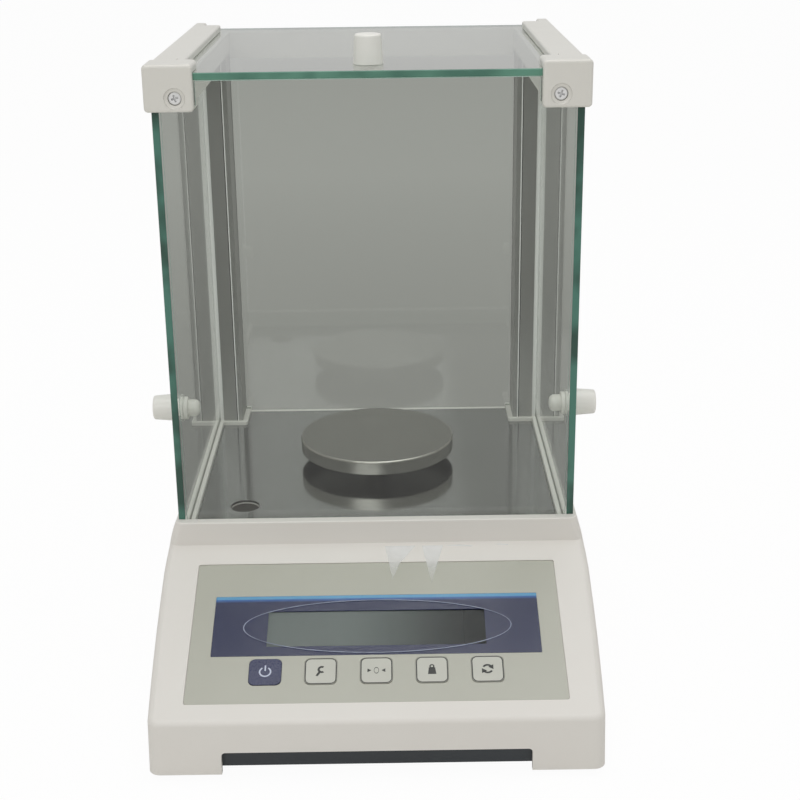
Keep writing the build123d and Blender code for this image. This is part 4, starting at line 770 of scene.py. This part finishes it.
dish = dict(rim=5.12, lip=3.35, sink=1.1, depth=3.95, steps=40)
width = dish["rim"] - dish["lip"]
curve = [(dish["lip"] + width * math.sin(a), -dish["sink"] * math.cos(a)) for a in quarterRound]
profile = curve + [(dish["rim"], -dish["depth"]), (dish["lip"], -dish["depth"]), curve[0]]
mesh = bmesh.new()
lathe(mesh, [(x * mm, z * mm) for x, z in profile], dish["steps"])
bmesh.ops.remove_doubles(mesh, verts=mesh.verts, dist=nothing)
dishPlaces = [((side * seats["x"], blockLow.y, seatZ), facing["front"]) for side in (-1, 1)]
dishes = scattered("screwDishes", looseObject("dish", mesh), dishPlaces, finishes["shieldAbs"])
fasten(dishes, "root")


# Nine sockets in the serial port, in rows of five and four

socket = dict(x=20.0, z=26.1, radius=0.5, bore=0.3, low=-3.0, high=0.03, pitch=2.77, rows=2.84, steps=12)
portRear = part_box("serial_port")[1].y
profile = [(0, socket["low"]), (socket["radius"], socket["low"]), (socket["radius"], socket["high"]),
           (socket["bore"], socket["high"]), (socket["bore"], 0), (0, 0)]
mesh = bmesh.new()
lathe(mesh, [(x * mm, z * mm) for x, z in profile], socket["steps"])
socketPlaces = []
for count, row in ((5, 0.5), (4, -0.5)):
    for i in range(count):
        x = socket["x"] + (i - (count - 1) / 2) * socket["pitch"]
        z = socket["z"] + row * socket["rows"]
        socketPlaces.append(((x * mm, portRear, z * mm), facing["rear"]))
sockets = scattered("serialSockets", looseObject("socket", mesh), socketPlaces, finishes["turnedBrass"])
fasten(sockets, "root")
print("screws, dishes and sockets made")


# Camera and light, as the photo was taken

view = dict(place=(10.446 * mm, -770.148 * mm, 410.321 * mm), yaw=0.237, pitch=19.795, roll=-0.713,
            lens=67.01, sensor=36.0, reach=60)


def lookingMatrix(look):
    yaw, pitch, roll = (math.radians(look[name]) for name in ("yaw", "pitch", "roll"))
    ahead = Vector((math.sin(yaw) * math.cos(pitch), math.cos(yaw) * math.cos(pitch), -math.sin(pitch)))
    level = Vector((math.cos(yaw), -math.sin(yaw), 0))
    upright = level.cross(ahead)
    right = math.cos(roll) * level + math.sin(roll) * upright
    up = math.cos(roll) * upright - math.sin(roll) * level
    return Matrix((
        (right.x, up.x, -ahead.x, look["place"][0]),
        (right.y, up.y, -ahead.y, look["place"][1]),
        (right.z, up.z, -ahead.z, look["place"][2]),
        (0, 0, 0, 1)))


cameraData = bpy.data.cameras.new("camera")
cameraData.lens = view["lens"]
cameraData.sensor_width = view["sensor"]
cameraData.clip_end = view["reach"]
camera = bpy.data.objects.new("camera", cameraData)
camera.matrix_world = lookingMatrix(view)
bpy.context.scene.collection.objects.link(camera)
bpy.context.scene.camera = camera

studio = dict(ambient=0.50, wall="A2A29E", wallFoot="8E8E8A", mirrored=0.62, floor="F2F1EE", floorWhite=0.96,
              footY=0.4, wallY=1.3, half=20, thick=0.02)


def seenColour(tree, lit, wall):  # white to the camera, the studio's grey wall through glass, else light
    path = addNode(tree, "ShaderNodeLightPath")
    glossy = mixed(tree, path.outputs["Is Glossy Ray"], lit, (studio["mirrored"],) * 3 + (1,))
    through = mixed(tree, path.outputs["Is Transmission Ray"], glossy, wall)
    return mixed(tree, path.outputs["Is Camera Ray"], through, (1, 1, 1, 1)), path


world = bpy.data.worlds.new("studio")
world.use_nodes = True
world.node_tree.nodes.clear()
colour, path = seenColour(world.node_tree, (studio["ambient"],) * 3 + (1,), linear(studio["wall"]))
sky = addNode(world.node_tree, "ShaderNodeBackground", {"Color": colour})
addNode(world.node_tree, "ShaderNodeOutputWorld", {"Surface": sky.outputs[0]})
bpy.context.scene.world = world

material, tree, place = startMaterial("studioFloor")
paper = addNode(tree, "ShaderNodeBsdfPrincipled", {"Base Color": linear(studio["floor"]), "Roughness": 0.9})
away = axisOf(tree, place, "Y")
climb = spread(tree, away, 0.0, 1.0, studio["footY"], studio["wallY"])
wall = mixed(tree, climb, linear(studio["wallFoot"]), linear(studio["wall"]))
colour, path = seenColour(tree, (0, 0, 0, 1), wall)
glow = addNode(tree, "ShaderNodeEmission", {"Color": colour})
seen = worked(tree, "MULTIPLY", path.outputs["Is Camera Ray"], studio["floorWhite"])
glowing = worked(tree, "MAXIMUM", seen, path.outputs["Is Transmission Ray"])
blend = addNode(tree, "ShaderNodeMixShader", {0: glowing, 1: paper.outputs[0], 2: glow.outputs[0]})
endMaterial(tree, blend.outputs[0])
mesh = bmesh.new()
half = studio["half"]
addPlate(mesh, [(-half, -half), (half, -half), (half, half), (-half, half)], -studio["thick"], 0.0)
floor = looseObject("studioFloorPlate", mesh)
floor.data.materials.append(material)

lamps = {  # place, aim, size in metres, power in watts
    "ceilingPanel": dict(place=(0.1, -0.1, 1.7), aim=(0, 0, 0.15), size=(1.6, 1.2), power=11),
    "frontPanel": dict(place=(-0.5, -1.9, 1.2), aim=(0, 0, 0.15), size=(1.4, 1.0), power=6.5),
}
for name, lamp in lamps.items():
    lightData = bpy.data.lights.new(name, "AREA")
    lightData.shape = "RECTANGLE"
    lightData.size, lightData.size_y = lamp["size"]
    lightData.energy = lamp["power"]
    light = bpy.data.objects.new(name, lightData)
    light.location = lamp["place"]
    light.rotation_euler = (Vector(lamp["aim"]) - Vector(lamp["place"])).to_track_quat("-Z", "Y").to_euler()
    bpy.context.scene.collection.objects.link(light)

bpy.context.scene.view_settings.view_transform = "Standard"
print("camera and light set")
